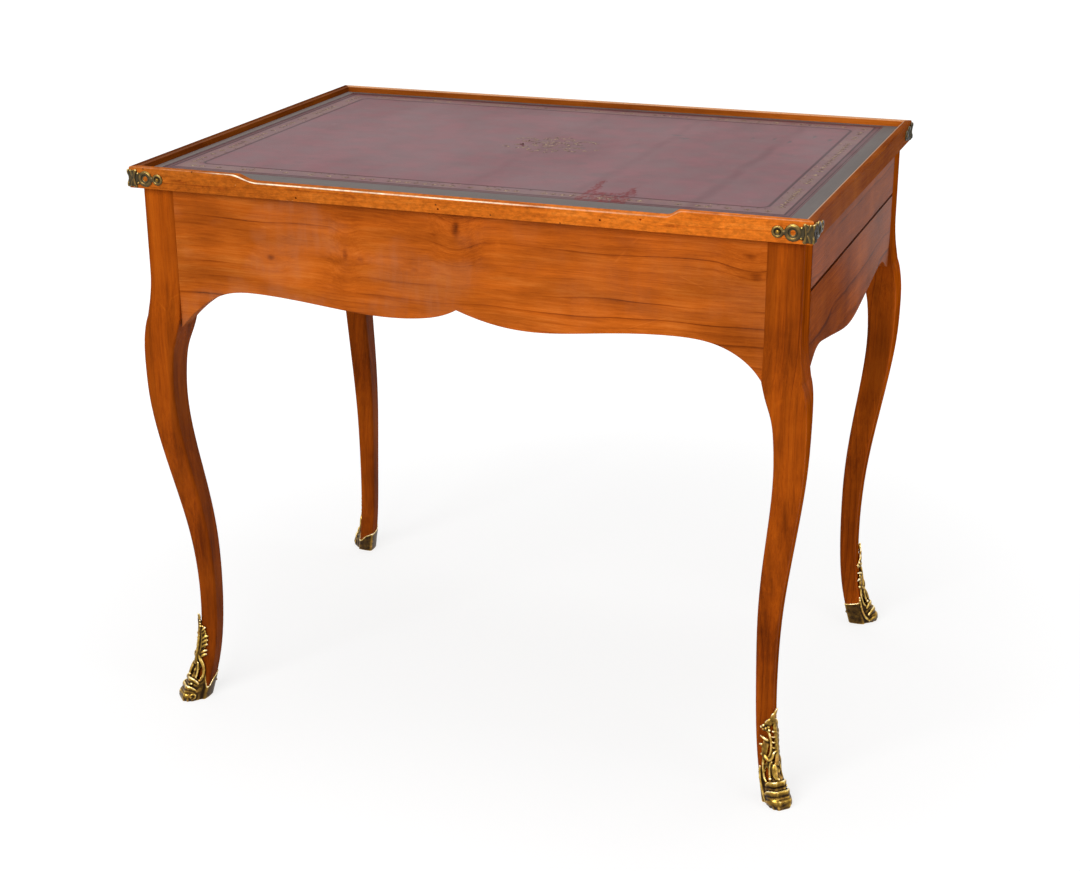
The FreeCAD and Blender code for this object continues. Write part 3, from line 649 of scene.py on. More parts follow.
def in_sole(way_round, height):
    return np.ones(way_round.shape, bool)


def sole_lift(way_round, height):
    return np.full(height.shape, -0.2)


def shoe_edge(*rounds):
    """The shoe's rounded upper edge, through the given places round it."""
    return [(way_round, shoe_mouth(way_round), 0.8, 1.2, 0.8) for way_round in rounds]


SHOE_END = 48.6
SHOE_TOP = 54
SOLE_TOP = 1.6
shoe = ([], [])
plate(shoe, on_foot, np.linspace(-SHOE_END, SHOE_END, 110), np.linspace(0, SHOE_TOP, 64), in_shoe,
      shoe_lift, sunk=0.8)
plate(shoe, on_foot, np.linspace(-SHOE_END, SHOE_END, 60), np.linspace(0, SOLE_TOP, 4), in_sole,
      sole_lift, sunk=8.0)
SHOE_STRANDS = [
    shoe_edge(-13, -16, -20, -24, -29, -36, -43, -48),
    shoe_edge(12, 14, 16, 18, 20, 23, 26, 29, 32, 36, 42, 48),
    # the tip, turned out from the arris, and the stem below it
    [(-0.4, 103, 2.4, 3.4, 2.3), (-0.3, 110, 2.8, 3.0, 2.1), (0.2, 116, 3.4, 2.5, 1.8),
     (0.6, 120, 4.6, 2.2, 1.4), (0.8, 122.2, 6.0, 1.5, 0.9)],
    [(0, 50, 4.0, 3.8, 2.8), (0.2, 60, 4.4, 3.2, 2.8), (0.5, 72, 4.0, 2.7, 2.6), (0.5, 84, 3.6, 2.6, 2.5),
     (0.2, 96, 3.0, 2.9, 2.4), (0, 107, 2.4, 3.0, 2.0)],
    # left: a smooth petal over a cluster of berries, and the strand that runs from it down to its volute
    [(-1.2, 109, 2.0, 2.4, 1.8), (-3.8, 104.5, 2.8, 4.2, 2.4), (-6.8, 101, 2.8, 4.4, 2.3),
     (-9.4, 98.2, 2.0, 3.2, 1.7)],
    [(-14.2, 90.4, 1.0, 1.0, 1.0), (-10.2, 92.2, 2.0, 1.4, 1.5), (-6.0, 90.4, 3.2, 1.6, 1.8),
     (-3.4, 84, 4.0, 1.7, 2.0), (-2.6, 75, 4.4, 1.7, 2.1), (-3.2, 67, 4.6, 1.8, 2.2),
     (-5.4, 60.6, 4.6, 2.0, 2.2), (-8.6, 58, 3.8, 2.0, 2.0)],
    [(-13.4, 61.5, 2.2, 2.4, 2.0), (-10.4, 57.6, 3.8, 2.8, 2.5), (-6.6, 56, 5.0, 2.6, 2.6),
     (-3.0, 58.6, 5.6, 2.2, 2.5), (-0.9, 63.4, 5.8, 1.8, 2.1), (0.4, 68.5, 5.0, 1.2, 1.5)],
    # left: the inner tongue with its turned lip and side spur
    [(-12.6, 60, 2.2, 3.4, 2.1), (-11.4, 67, 3.0, 4.2, 2.4), (-10.0, 73, 3.0, 4.3, 2.4),
     (-9.0, 78, 2.6, 4.0, 2.0)],
    [(-4.4, 78.2, 2.6, 1.5, 1.5), (-8.5, 80.2, 3.6, 2.2, 2.1), (-12.6, 82.2, 3.2, 1.9, 1.8),
     (-17.0, 83.6, 1.5, 1.0, 1.0)],
    [(-11.6, 69.5, 2.4, 2.4, 1.8), (-15.0, 72.8, 2.8, 2.2, 1.8), (-17.8, 72.6, 2.0, 1.5, 1.3),
     (-19.2, 70.6, 1.0, 0.8, 0.7)],
    # left: rims of the lower opening, and the rib that parts heel from toe
    [(-13.0, 58, 2.6, 2.2, 2.0), (-15.0, 50, 2.4, 1.8, 1.8), (-15.8, 41, 2.6, 1.6, 1.7),
     (-14.8, 32, 3.4, 1.8, 1.9), (-11.6, 26.5, 5.0, 2.1, 2.1)],
    [(-4.0, 54, 4.6, 2.2, 2.0), (-5.8, 47, 5.0, 1.8, 1.8), (-6.8, 39, 5.8, 1.6, 1.7),
     (-6.6, 31, 7.4, 1.7, 1.7)],
    [(-20.5, 45, 1.6, 1.5, 1.3), (-21.8, 34, 1.9, 1.7, 1.5), (-21.4, 22, 2.2, 1.9, 1.6),
     (-18.4, 11, 3.6, 2.1, 1.8), (-14.4, 4.5, 7.6, 2.1, 1.7)],
    # right: the leaf, its vein and its toothed edge
    [(2.4, 59, 3.2, 3.4, 1.9), (5.2, 65, 3.2, 5.0, 1.9), (4.6, 70.5, 2.8, 4.0, 1.7),
     (6.0, 77, 2.8, 5.8, 1.8), (6.4, 86, 2.6, 6.0, 1.8), (5.2, 95, 2.3, 4.8, 1.6),
     (3.0, 103, 2.0, 3.0, 1.4)],
    [(2.0, 58, 4.6, 1.4, 1.5), (4.8, 70, 4.3, 1.4, 1.5), (5.4, 84, 4.0, 1.3, 1.4), (4.0, 97, 3.4, 1.1, 1.2)],
    *[[(4.6, z - 4.6, 3.8, 1.5, 1.4), (8.2, z - 1.2, 3.9, 1.9, 1.6), (11.4, z + 0.8, 3.0, 1.7, 1.4),
       (13.6, z + 1.0, 1.6, 1.1, 1.0)] for z in (63, 68.5, 77, 83, 89)],
    *[[(4.4, z - 4.4, 3.4, 1.3, 1.3), (7.2, z - 0.6, 3.2, 1.6, 1.4),
       (9.2, z + 2.2, 2.2, 1.2, 1.0)] for z in (95, 100.5)],
    *[[(1.8, z - 4.0, 4.6, 1.2, 1.3), (-0.8, z, 5.0, 1.2, 1.2)] for z in (72, 79, 86, 93)],
    # right: the diagonal rib that becomes the rim of the opening
    [(1.6, 63.5, 4.2, 2.2, 2.1), (6.0, 57, 4.4, 2.5, 2.4), (10.0, 51, 4.0, 2.5, 2.3),
     (13.0, 44, 3.2, 2.2, 2.0), (14.0, 36, 3.0, 2.0, 1.9), (13.0, 29, 3.8, 2.1, 2.0),
     (10.0, 25, 5.4, 2.2, 2.1)],
    [(3.2, 52, 4.6, 1.8, 1.8), (5.0, 45, 5.0, 1.6, 1.6), (5.8, 37, 5.9, 1.5, 1.6), (5.4, 31, 7.3, 1.6, 1.6)],
    # the bud between the openings, the broad lips that step down over the toe, and the volute beside them
    [(-0.4, 51, 5.4, 2.6, 2.2), (-0.6, 46, 6.4, 3.8, 2.8), (-0.4, 40, 7.6, 3.6, 2.8),
     (0.0, 34, 9.0, 2.0, 2.0)],
    [(-12.8, 24.0, 6.0, 2.6, 1.8), (-8.4, 27.0, 8.2, 3.8, 2.2), (-3.6, 28.0, 10.0, 4.4, 2.4),
     (1.4, 28.6, 10.4, 4.2, 2.3), (6.8, 26.8, 9.0, 3.4, 2.0), (11.4, 23.0, 7.0, 2.2, 1.5)],
    [(-14.2, 13.5, 7.2, 2.6, 1.8), (-9.4, 16.8, 10.6, 4.4, 2.3), (-4.0, 18.0, 13.0, 5.0, 2.5),
     (1.6, 17.6, 13.6, 4.8, 2.4), (7.2, 16.2, 11.4, 4.0, 2.1), (12.0, 12.5, 8.2, 2.4, 1.6)],
    [(-13.6, 5.2, 8.4, 2.6, 1.8), (-9.0, 7.0, 12.2, 4.0, 2.3), (-3.4, 7.8, 15.0, 4.8, 2.4),
     (2.0, 7.4, 15.2, 4.6, 2.3), (7.4, 6.6, 12.4, 3.6, 2.1), (11.8, 4.6, 9.2, 2.4, 1.7)],
    [(8.6, 3.2, 12.0, 1.5, 1.5), (11.8, 5.4, 10.2, 1.6, 1.6), (11.6, 9.2, 10.4, 1.6, 1.6),
     (8.6, 10.4, 12.6, 1.5, 1.5), (7.2, 7.8, 14.0, 1.3, 1.4), (8.8, 6.0, 13.4, 1.1, 1.3)],
]
for points in SHOE_STRANDS:
    strand(shoe, on_foot, points)
SHOE_BEADS = [
    (-15.0, 95.0, 1.2, 2.3), (-12.0, 97.8, 2.2, 2.5), (-9.0, 94.8, 2.8, 2.4), (-12.6, 92.8, 1.8, 2.0),
    (-6.0, 97.0, 3.2, 2.3), (-5.0, 93.0, 3.4, 2.1), (1.6, 107, 3.4, 1.4), (1.8, 103, 3.6, 1.5),
    (1.4, 111, 3.6, 1.3), (-15.6, 60.5, 2.0, 2.3),
    # seeds along the rib at the heel's side, and two on the toe
    (-22.0, 40.0, 1.8, 1.7), (-22.4, 30.0, 1.9, 1.8), (-6.4, 34.0, 7.6, 2.2), (3.6, 24.4, 11.4, 2.0),
]
for way_round, height, lift, radius in SHOE_BEADS:
    bead(shoe, on_foot, way_round, height, lift, radius)

SHOE_GRAIN = 0.55
shoe_skin = cast("shoe_casting", shoe, SHOE_GRAIN, soften=2)
shoe_gilding = gilding("shoe_gilding", 0.12)
for corner in CORNERS:
    skin = shoe_skin.copy()
    skin.transform(corner_matrix(corner, FOOT_MIDDLE))
    add_piece("gilt_shoe_" + corner, skin, "frame", shoe_gilding, ["sabot_" + corner])


# The pins are small brass nails, driven through each shoe at the leaf and at the heel,
# with their domed heads left standing on the casting.
def node_tree_for(name, inputs):
    """An empty geometry tree that takes and gives a mesh, with named sizes."""
    tree = bpy.data.node_groups.new(name, "GeometryNodeTree")
    for way in ("INPUT", "OUTPUT"):
        tree.interface.new_socket("Geometry", in_out=way, socket_type="NodeSocketGeometry")
    return tree, open_group(tree, inputs)


def close_tree(tree, instances, material):
    """Ends a tree with plain geometry in its material."""
    real = wire(tree, "GeometryNodeRealizeInstances", {0: instances})
    smooth = wire(tree, "GeometryNodeSetShadeSmooth", {0: real})
    done = wire(tree, "GeometryNodeSetMaterial", {"Geometry": smooth, "Material": material})
    new_node(tree, "NodeGroupOutput", {0: done})


def turned_along(tree, vector, axis):
    return wire(tree, "FunctionNodeAlignRotationToVector", {"Vector": vector}, axis=axis)


def set_on_points(points, instance, rotation, scale=(1, 1, 1), **chosen):
    inputs = {"Points": points, "Instance": instance, "Rotation": rotation, "Scale": scale, **chosen}
    return wire(points.tree, "GeometryNodeInstanceOnPoints", inputs)


def grown(name, tree, seed_mesh, **sizes):
    """Runs a tree on a mesh with its sizes set, and gives back the plain mesh."""
    holder = show(name, seed_mesh)
    modifier = holder.modifiers.new(name, "NODES")
    modifier.node_group = tree
    for socket in tree.interface.items_tree:
        wanted = socket.name.lower().replace(" ", "_")
        if socket.in_out == "INPUT" and wanted in sizes:
            modifier[socket.identifier] = sizes[wanted]
    return plain_mesh(holder)


HEAD_RELIEF = 0.52
pin_brass = gilding("pin_brass", 0.02)
pin_tree, given = node_tree_for("domed_pins", [("Head Radius", "NodeSocketFloat", 0.0018),
                                               ("Head Height", "NodeSocketFloat", 0.0012)])
dome = wire(pin_tree, "GeometryNodeMeshUVSphere", {"Segments": 20, "Rings": 12, "Radius": 1.0})
size = wire(pin_tree, "ShaderNodeCombineXYZ",
            {0: given["Head Radius"], 1: given["Head Radius"], 2: given["Head Height"]})
facing = wire(pin_tree, "GeometryNodeInputNamedAttribute", {"Name": "facing"}, data_type="FLOAT_VECTOR")
heads = set_on_points(given["Geometry"], dome, turned_along(pin_tree, facing, "Z"), size)
heads = wire(pin_tree, "GeometryNodeRealizeInstances", {0: heads})
heads = wire(pin_tree, "GeometryNodeStoreNamedAttribute",
             {"Geometry": heads, "Name": "relief", "Value": HEAD_RELIEF}, data_type="FLOAT")
close_tree(pin_tree, heads, pin_brass)


def pins(name, surface, spots, middle, body, replaced, **sizes):
    """Domed heads at the same spots on all four castings."""
    spots = np.array(spots, float)
    places, facings = surface(spots[:, 0], spots[:, 1], spots[:, 2])
    all_places, all_facings = [], []
    for corner in CORNERS:
        matrix = corner_matrix(corner, middle)
        all_places += [matrix @ Vector(place * MM) for place in places]
        all_facings += [matrix.to_3x3() @ Vector(facing) for facing in facings]
    points = new_mesh(name + "_spots", all_places)
    facing = points.attributes.new("facing", "FLOAT_VECTOR", "POINT")
    facing.data.foreach_set("vector", np.array(all_facings, float).ravel())
    add_piece(name, grown(name, pin_tree, points, **sizes), body, replaces=[replaced])


pins("shoe_pin_heads", on_foot, [(0, 104.5, 3.0), (48, 19, 1.3)], FOOT_MIDDLE, "frame", "sabot_pins",
     head_radius=0.0019, head_height=0.0012)

# Inside the frame, plain oak bearers carry the well's floor; a rail across the middle and four runners
# carry the drawers, and four oak pegs in the leg tops locate the top. All is sawn and planed, unpolished.
OAK_TONES = [(0.0, (0.10, 0.052, 0.020)), (0.35, (0.22, 0.128, 0.055)), (0.6, (0.34, 0.215, 0.10)),
             (1.0, (0.46, 0.32, 0.17))]
OAK_PITH = (0, 0.3, 0.2)
OAK = dict(tones=OAK_TONES, lines=0.30, gloss=0.62, shine=0.06)
oak_long = wood("oak_long", ALONG_X, OAK_PITH, 0.0045, 0.010, **OAK)
oak_across = wood("oak_across", ALONG_Y, OAK_PITH, 0.0045, 0.010, **OAK)
oak_upright = wood("oak_upright", ALONG_Z, OAK_PITH, 0.004, 0.006, OAK_TONES, lines=0.25, gloss=0.6,
                   shine=0.06)
finish_nodes(oak_long, "floor_bearer_front", "floor_bearer_back",
             *["drawer_runner_" + corner for corner in CORNERS])
finish_nodes(oak_across, "centre_rail")
finish_nodes(oak_upright, "top_dowels")

# The well is lined with thin cherry boards round an oak floor veneered in black, with
# long points of boxwood and green-stained wood let into the veneer and a bar between the two halves.
finish_nodes(wood("well_lining_long", ALONG_X, (0, 0.1, 0.5), 0.007, 0.02, shift=(0.2, 0, 0), lift=0.03),
             "well_lining_front", "well_lining_back", "centre_bar")
finish_nodes(wood("well_lining_short", ALONG_Y, (0, 0.1, 0.5), 0.007, 0.02, shift=(0.5, 0, 0), lift=0.03),
             "well_lining_left", "well_lining_right")
finish_nodes(oak_long, "well_floor")
BLACK_TONES = [(0.0, (0.006, 0.005, 0.004)), (0.5, (0.016, 0.012, 0.009)), (1.0, (0.045, 0.034, 0.024))]
BOXWOOD_TONES = [(0.0, (0.36, 0.24, 0.09)), (0.5, (0.56, 0.41, 0.18)), (1.0, (0.70, 0.55, 0.29))]
GREEN_TONES = [(0.0, (0.016, 0.034, 0.010)), (0.5, (0.040, 0.075, 0.022)), (1.0, (0.085, 0.13, 0.045))]
finish_nodes(wood("black_field", ALONG_X, (0, 0.4, 0.3), 0.006, 0.012, BLACK_TONES, gloss=0.3), "well_field")
POINTS = dict(pith=(0, 0.4, 0.3), ring_spacing=0.003, waviness=0.008, lines=0.2, gloss=0.3)
finish_nodes(wood("boxwood_points", ALONG_Y, tones=BOXWOOD_TONES, **POINTS), "points_light")
finish_nodes(wood("green_points", ALONG_Y, tones=GREEN_TONES, **POINTS), "points_dark")

# Each end has a drawer: a shaped cherry front, dovetailed to thin oak sides, with an oak back and bottom.
# It has no handle and is drawn out by the lower edge of its front.
for side, shift in (("right", 0.15), ("left", 0.75)):
    # The drawer fronts are lowered in tone too, as painted shade on the end faces.
    front = wood("drawer_front_" + side, ALONG_Y, (0, 0.2, 0.42), 0.008, 0.026, shift=(shift, 0, 0),
                 lift=-0.18, shine=0.022, veil=0.10, marks=uneven_polish_and_painted_shade)
    finish_nodes(front, f"drawer_{side}_front")
    finish_nodes(oak_long, f"drawer_{side}_side_front", f"drawer_{side}_side_back")
    finish_nodes(oak_across, f"drawer_{side}_back", f"drawer_{side}_bottom")

# The top is a panel framed by four mitred rim strips of cherry that stand above it; the front one dips
# to the level of the field. Inside them lies a mitred border of dark, highly polished veneer.
RIM_TONES = [(0.0, (0.12, 0.022, 0.002)), (0.30, (0.36, 0.072, 0.005)), (0.55, (0.55, 0.132, 0.010)),
             (0.8, (0.68, 0.20, 0.025)), (1.0, (0.78, 0.31, 0.08))]
finish_nodes(oak_long, "top_panel")
DIP_LEFT, DIP_LEFT_SWEEP = 0.247, 0.038
DIP_RIGHT, DIP_RIGHT_SWEEP = 0.254, 0.022
RIM_LOW, RIM_HIGH = (Vector(corner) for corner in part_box("rim_front"))
DIP_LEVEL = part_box("border_front")[1][2]
# Dark streaks on the front strip's face, one beside the left mount.
RIM_DARK_STREAKS = [((-0.352, RIM_LOW.y, 0.716), 0.019, 0.0022, 0.36),
             ((0.262, RIM_LOW.y, 0.712), 0.012, 0.0020, 0.22)]
SHORT_RIM_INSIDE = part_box("border_right")[1][0]


def dip_highlight_and_marks(place, colour, shine):
    """The front strip: the dip's outer arris rubbed pale, with a painted highlight along it, painted light
    growing towards the right, old pin holes in the face below it, and pale nicks along its lower edge.
    """
    x, y, z = parts(place)
    left = x * -1.0
    level = most(ease(left, DIP_LEFT, DIP_LEFT + DIP_LEFT_SWEEP, DIP_LEVEL, RIM_HIGH.z),
                 ease(x, DIP_RIGHT, DIP_RIGHT + DIP_RIGHT_SWEEP, DIP_LEVEL, RIM_HIGH.z))
    up, out = z - level, y - RIM_LOW.y
    # A pale line along the dip's outer arris: rubbed wear with a painted highlight.
    rubbed_and_highlight = ease(maths("SQRT", up * up + out * out), 0.0006, 0.0015, 1.0, 0.0)
    rubbed_and_highlight = rubbed_and_highlight * ease(left, DIP_LEFT + DIP_LEFT_SWEEP, DIP_LEFT + 2 * DIP_LEFT_SWEEP, 1.0, 0.12)
    rubbed_and_highlight = rubbed_and_highlight * ease(x, -0.05, 0.24, 1.0, 0.16)
    rubbed_and_highlight = rubbed_and_highlight * ease(noise(place, 45, 3.0), 0.34, 0.56, 0.45, 1.0)
    # Painted light, growing from left to right along the strip.
    colour = shaded(colour, ease(x, -0.42, 0.40, 0.73, 1.24))
    colour = mix_colour(rubbed_and_highlight * 0.92, colour, (1.0, 0.84, 0.60))
    face = wire(place.tree, "ShaderNodeCombineXYZ", {0: x, 1: z})
    holes = new_node(place.tree, "ShaderNodeTexVoronoi", {"Vector": face, "Scale": 60.0},
                     voronoi_dimensions="2D").outputs
    chance = wire(place.tree, "ShaderNodeSeparateColor", {0: Wire(holes["Color"])})
    pricked = ease(Wire(holes["Distance"]), 0.03, 0.08, 0.9, 0.0) * maths("GREATER_THAN", chance, 0.93)
    colour = mix_colour(pricked, colour, (0.035, 0.012, 0.004))
    bruise = noise(place, (110, 110, 210), 3.0, 0.7)
    colour = shaded(colour, ease(bruise, 0.30, 0.68, 0.76, 1.20))
    chipped = ease(z, RIM_LOW.z + 0.0004, RIM_LOW.z + 0.0016, 1.0, 0.0)
    chipped = chipped * ease(noise(place, 34, 5.0, 0.8), 0.60, 0.68)
    nicked = most(chipped, ease(noise(place, 260), 0.75, 0.78))
    return mix_colour(nicked * 0.5, colour, (0.92, 0.52, 0.20)), rubbed_and_highlight * 0.8 + shine


def back_rim_painted_light(place, colour, shine):
    """The back strip: its top painted paler, as painted light, and the wall inside it painted darker, as
    painted shade, fading out towards its right end."""
    _, facing_y, facing_z = face_parts(place.tree)
    wall = ease(facing_y, -0.9, -0.5, 1.0, 0.0)
    # Painted shade on the inner wall.
    colour = shaded(colour, 1.0 - wall * ease(parts(place)[0], 0.10, 0.34, 0.42, 0.0))
    # Painted light on the top face.
    return mix_colour(ease(facing_z, 0.3, 0.8, 0.0, 0.42), colour, (0.90, 0.62, 0.36)), shine


def short_rim_painted_shade_and_highlight(place, colour, shine):
    """A short strip: painted shade on its top and inner wall, deepest on the left one, painted shade on
    its outer face, and a painted highlight along its inner arris, mostly on the right one.
    """
    x, y, z = parts(place)
    facing_x, _, facing_z = face_parts(place.tree)
    outward = facing_x * maths("SIGN", x)
    on_top = ease(facing_z, 0.4, 0.9) * ease(x, -0.2, 0.2, 0.70, 0.42)
    on_wall = ease(outward, -0.9, -0.5, 1.0, 0.0) * ease(x, -0.2, 0.2, 0.46, 0.42)
    # Painted shade on the top, the inner wall and the outer face.
    colour = shaded(colour, 1.0 - most(on_top, on_wall))
    colour = shaded(colour, ease(outward, 0.5, 0.9, 1.0, 0.80))
    # A pale painted highlight along the inner arris.
    painted_arris_highlight = ease(abs(x) - SHORT_RIM_INSIDE, 0.0012, 0.0030, 1.0, 0.0)
    painted_arris_highlight = painted_arris_highlight * ease(z, RIM_HIGH.z - 0.0020, RIM_HIGH.z - 0.0008) * ease(x, -0.2, 0.2, 0.10, 0.75)
    colour = mix_colour(painted_arris_highlight, colour, (0.66, 0.42, 0.28))
    return colour, ease(y, -0.26, 0.10, 2.0, 0.6) * ease(x, -0.2, 0.2, 0.2, 1.0) * shine


def left_border_painted_reflection(place, colour, shine):
    """A short border: the left one painted a pale grey, as a painted reflection in its polish."""
    painted_reflection = ease(parts(place)[0], -0.1, 0.1, 0.75, 0.0)
    return mix_colour(painted_reflection, colour, (0.20, 0.165, 0.155)), shine


RIM = dict(ring_spacing=0.006, waviness=0.020, tones=RIM_TONES)
RIM_PITH = (0, -0.2, 0.60)
SHORT_RIM_PITH = (0, -0.3, 0.60)
finish_nodes(wood("rim_front", ALONG_X, RIM_PITH, **RIM, shift=(0.33, 0, 0), veil=0.2, knots=RIM_DARK_STREAKS,
                  marks=dip_highlight_and_marks), "rim_front")
finish_nodes(wood("rim_back", ALONG_X, RIM_PITH, **RIM, shift=(0.71, 0, 0), lift=-0.06, veil=0.2,
                  marks=back_rim_painted_light), "rim_back")
# The short strips are lowered in tone too, part of the painted shade on the left one.
finish_nodes(wood("rim_short", ALONG_Y, SHORT_RIM_PITH, **RIM, shift=(0.9, 0, 0), lift=-0.18, shine=0.014,
                  veil=0.16, marks=short_rim_painted_shade_and_highlight), "rim_left", "rim_right")

BORDER_TONES = [(0.0, (0.066, 0.052, 0.047)), (0.5, (0.115, 0.095, 0.087)), (1.0, (0.165, 0.140, 0.128))]
BORDER = dict(pith=RIM_PITH, ring_spacing=0.005, waviness=0.02, tones=BORDER_TONES, gloss=0.48, shine=0.46,
              veil=0.24)
finish_nodes(wood("border_long", ALONG_X, **BORDER), "border_front", "border_back")
finish_nodes(wood("border_short", ALONG_Y, **BORDER, marks=left_border_painted_reflection), "border_left", "border_right")

# The corner mounts are four gilt castings, bent round the rim's corners and pinned through a disc at
# each end. A fluted clasp covers the corner, and a pierced ring with a raised lip joins it to the disc.
RIM_CORNER = (420.0, 300.0)
CLASP_ROUND = 3.0
MOUNT_LEVEL = 716.0
MOUNT_END, MOUNT_HALF_HEIGHT = 49, 11
RING_PLACE, RING_REACH, RING_HOLE = 22.0, 9.7, 3.0
DISC_PLACE, DISC_REACH = 38.8, 6.9


def on_rim(way_along, height, lift):
    """Places on the rim's two outer faces, in mm: along from the corner, up from the floor, off the wood."""
    bent = np.hypot(way_along, CLASP_ROUND)
    facing = np.stack((np.ones_like(bent), way_along / bent, np.zeros_like(bent)), axis=-1)
    facing /= np.linalg.norm(facing, axis=-1, keepdims=True)
    places = np.stack((-bent / math.sqrt(2), way_along / math.sqrt(2), height + 0 * bent), axis=-1)
    return places + facing * np.asarray(lift)[..., None], facing


def in_mount(way_along, height):
    along, up = np.abs(way_along), np.abs(height - MOUNT_LEVEL)
    to_ring = np.hypot(along - RING_PLACE, up)
    neck = (along > RING_PLACE + 4) & (along < DISC_PLACE) & (up < 3.0)
    clasp = (along < 14) & (up < np.interp(along, (0, 4, 8, 11, 14), (10.6, 9.6, 10.6, 7.0, 4.6)))
    disc = np.hypot(along - DISC_PLACE, up) < DISC_REACH
    return ((to_ring < RING_REACH) | neck | clasp | disc) & (to_ring > RING_HOLE)


def mount_lift(way_along, height):
    """A thin wall, dished inside the ring and the disc, drawn up over the corner."""
    along, up = np.abs(way_along), height - MOUNT_LEVEL
    dish = np.minimum(np.hypot(along - RING_PLACE, up) / RING_REACH,
                      np.hypot(along - DISC_PLACE, up) / DISC_REACH)
    return 0.5 + 0.7 * np.clip(dish, 0, 1) ** 2 + np.interp(along, (0, 4, 9), (2.0, 1.0, 0.0))


def hoop(middle, reach, lift, half_width, half_height):
    """A raised lip round a place on the rim's face, standing highest at its upper side."""
    turns = np.linspace(0, 2 * math.pi, 17)
    return [(middle + reach * math.cos(turn), reach * math.sin(turn), lift + 0.35 * math.sin(turn),
             half_width, half_height) for turn in turns]


MOUNT_STRANDS = [
    hoop(RING_PLACE, 7.2, 0.9, 2.3, 1.5), hoop(DISC_PLACE, 5.2, 0.9, 1.6, 1.3),
    # the fold that closes the clasp, flared above and below
    [(9.4, -10.2, 1.3, 2.3, 1.3), (8.0, -6.4, 1.5, 2.0, 1.6), (7.2, 0.0, 1.6, 1.6, 1.5),
     (8.0, 6.4, 1.5, 2.0, 1.6), (9.4, 10.2, 1.3, 2.2, 1.3)],
    # the leaf over the corner, in two lobes drawn in at the waist
    [(0.0, -10.0, 3.3, 1.9, 1.4), (0.0, -6.5, 3.5, 1.8, 1.4), (0.0, -2.6, 2.5, 1.2, 1.1),
     (0.0, 0.4, 2.1, 1.0, 1.0), (0.0, 3.4, 2.6, 1.2, 1.1), (0.0, 7.0, 3.6, 1.8, 1.4),
     (0.0, 10.2, 3.4, 1.7, 1.3)],
    [(5.6, 1.8, 1.9, 1.3, 1.1), (3.8, 5.4, 1.9, 1.7, 1.4), (2.2, 9.8, 2.3, 1.7, 1.3)],
    [(5.6, -1.8, 1.9, 1.3, 1.1), (3.8, -5.2, 1.9, 1.7, 1.4), (2.4, -9.6, 2.2, 1.8, 1.3)],
    # the neck between ring and disc
    [(29.6, 0, 0.9, 3.0, 1.3), (31.8, 0, 1.1, 2.6, 1.4), (34.0, 0, 0.9, 2.8, 1.2)],
]
mount = ([], [])
mount_heights = np.linspace(-MOUNT_HALF_HEIGHT, MOUNT_HALF_HEIGHT, 56) + MOUNT_LEVEL
plate(mount, on_rim, np.linspace(-MOUNT_END, MOUNT_END, 220), mount_heights, in_mount, mount_lift, sunk=0.3)
for side in (-1, 1):
    for points in MOUNT_STRANDS:
        strand(mount, on_rim, [(side * along, MOUNT_LEVEL + up, *rest) for along, up, *rest in points])
    bead(mount, on_rim, side * 2.6, MOUNT_LEVEL - 8.6, 1.9, 1.7)
    bead(mount, on_rim, side * 12.6, MOUNT_LEVEL - 5.6, 0.8, 1.9)
    bead(mount, on_rim, side * 12.4, MOUNT_LEVEL + 6.0, 0.8, 1.8)

MOUNT_GRAIN = 0.42
mount_skin = cast("mount_casting", mount, MOUNT_GRAIN, soften=1)
# The back pair is a darker copy, as painted shade, with more green patina.
mount_gilding = {"front": gilding("mount_gilding_front", 0.19, painted_end_shade=0.85, patina=0.40),
                 "back": gilding("mount_gilding_back", 0.46, painted_end_shade=0.88, patina=0.60)}
for corner in CORNERS:
    skin = mount_skin.copy()
    skin.transform(corner_matrix(corner, RIM_CORNER))
    add_piece("gilt_mount_" + corner, skin, "top", mount_gilding[corner.split("_")[0]],
              ["corner_mount_" + corner])
pins("mount_pin_heads", on_rim, [(side * DISC_PLACE, MOUNT_LEVEL, 1.0) for side in (-1, 1)], RIM_CORNER,
     "top", "corner_mount_pins", head_radius=0.0025, head_height=0.0016)

# The writing surface is one skin of burgundy leather, pasted down and trimmed inside the border.
# A hot wheel has pressed lines round its edge, and gilt stamps, now mostly rubbed away, run beside them.
LEATHER_LOW, LEATHER_HIGH = (Vector(corner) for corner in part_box("leather"))
LEATHER_MIDDLE = (LEATHER_LOW + LEATHER_HIGH) / 2
LEATHER_HALF = (LEATHER_HIGH - LEATHER_LOW) / 2
OUTER_GROOVES = (3.0, 8.6, 10.0)
OUTER_GROOVE_WIDTH, OUTER_GROOVE_DEPTH = 0.55, 0.20
INNER_GROOVES = (-0.9, 0.9)
INNER_GROOVE_WIDTH, INNER_GROOVE_DEPTH = 0.6, 0.22
INNER_LINE = 35.0
INNER_RADIUS = 12.0
EDGE_DROP = 0.5
SKIN_LEVEL = LEATHER_HIGH.z - 0.0001


def groove_lines(half):
    """Grid lines across the leather, in mm, close together where the wheel has pressed."""
    close = np.concatenate((np.arange(0, 2, 0.5), np.arange(2, 4.2, 0.4), np.arange(4.6, 8, 1.1),
                            np.arange(8, 11.2, 0.35), np.arange(12, 33, 3), np.arange(33, 37.2, 0.45),
                            np.arange(38, 51, 1.1)))
    half = half / MM
    middle = np.linspace(close[-1] - half, half - close[-1], int((half - close[-1]) / 6))[1:-1]
    return np.concatenate((close - half, middle, half - close[::-1]))


def pressed(distance, places, width, depth):
    return sum(-depth * np.exp(-((distance - place) / width) ** 2) for place in places)


def leather_swell(x, y):
    """How far the leather lies above or below its level, in mm, at a place in mm from its middle."""
    return 0.05 * np.sin(x / 61 + 0.6) * np.cos(y / 47) + 0.03 * np.sin(x / 23 + y / 31)


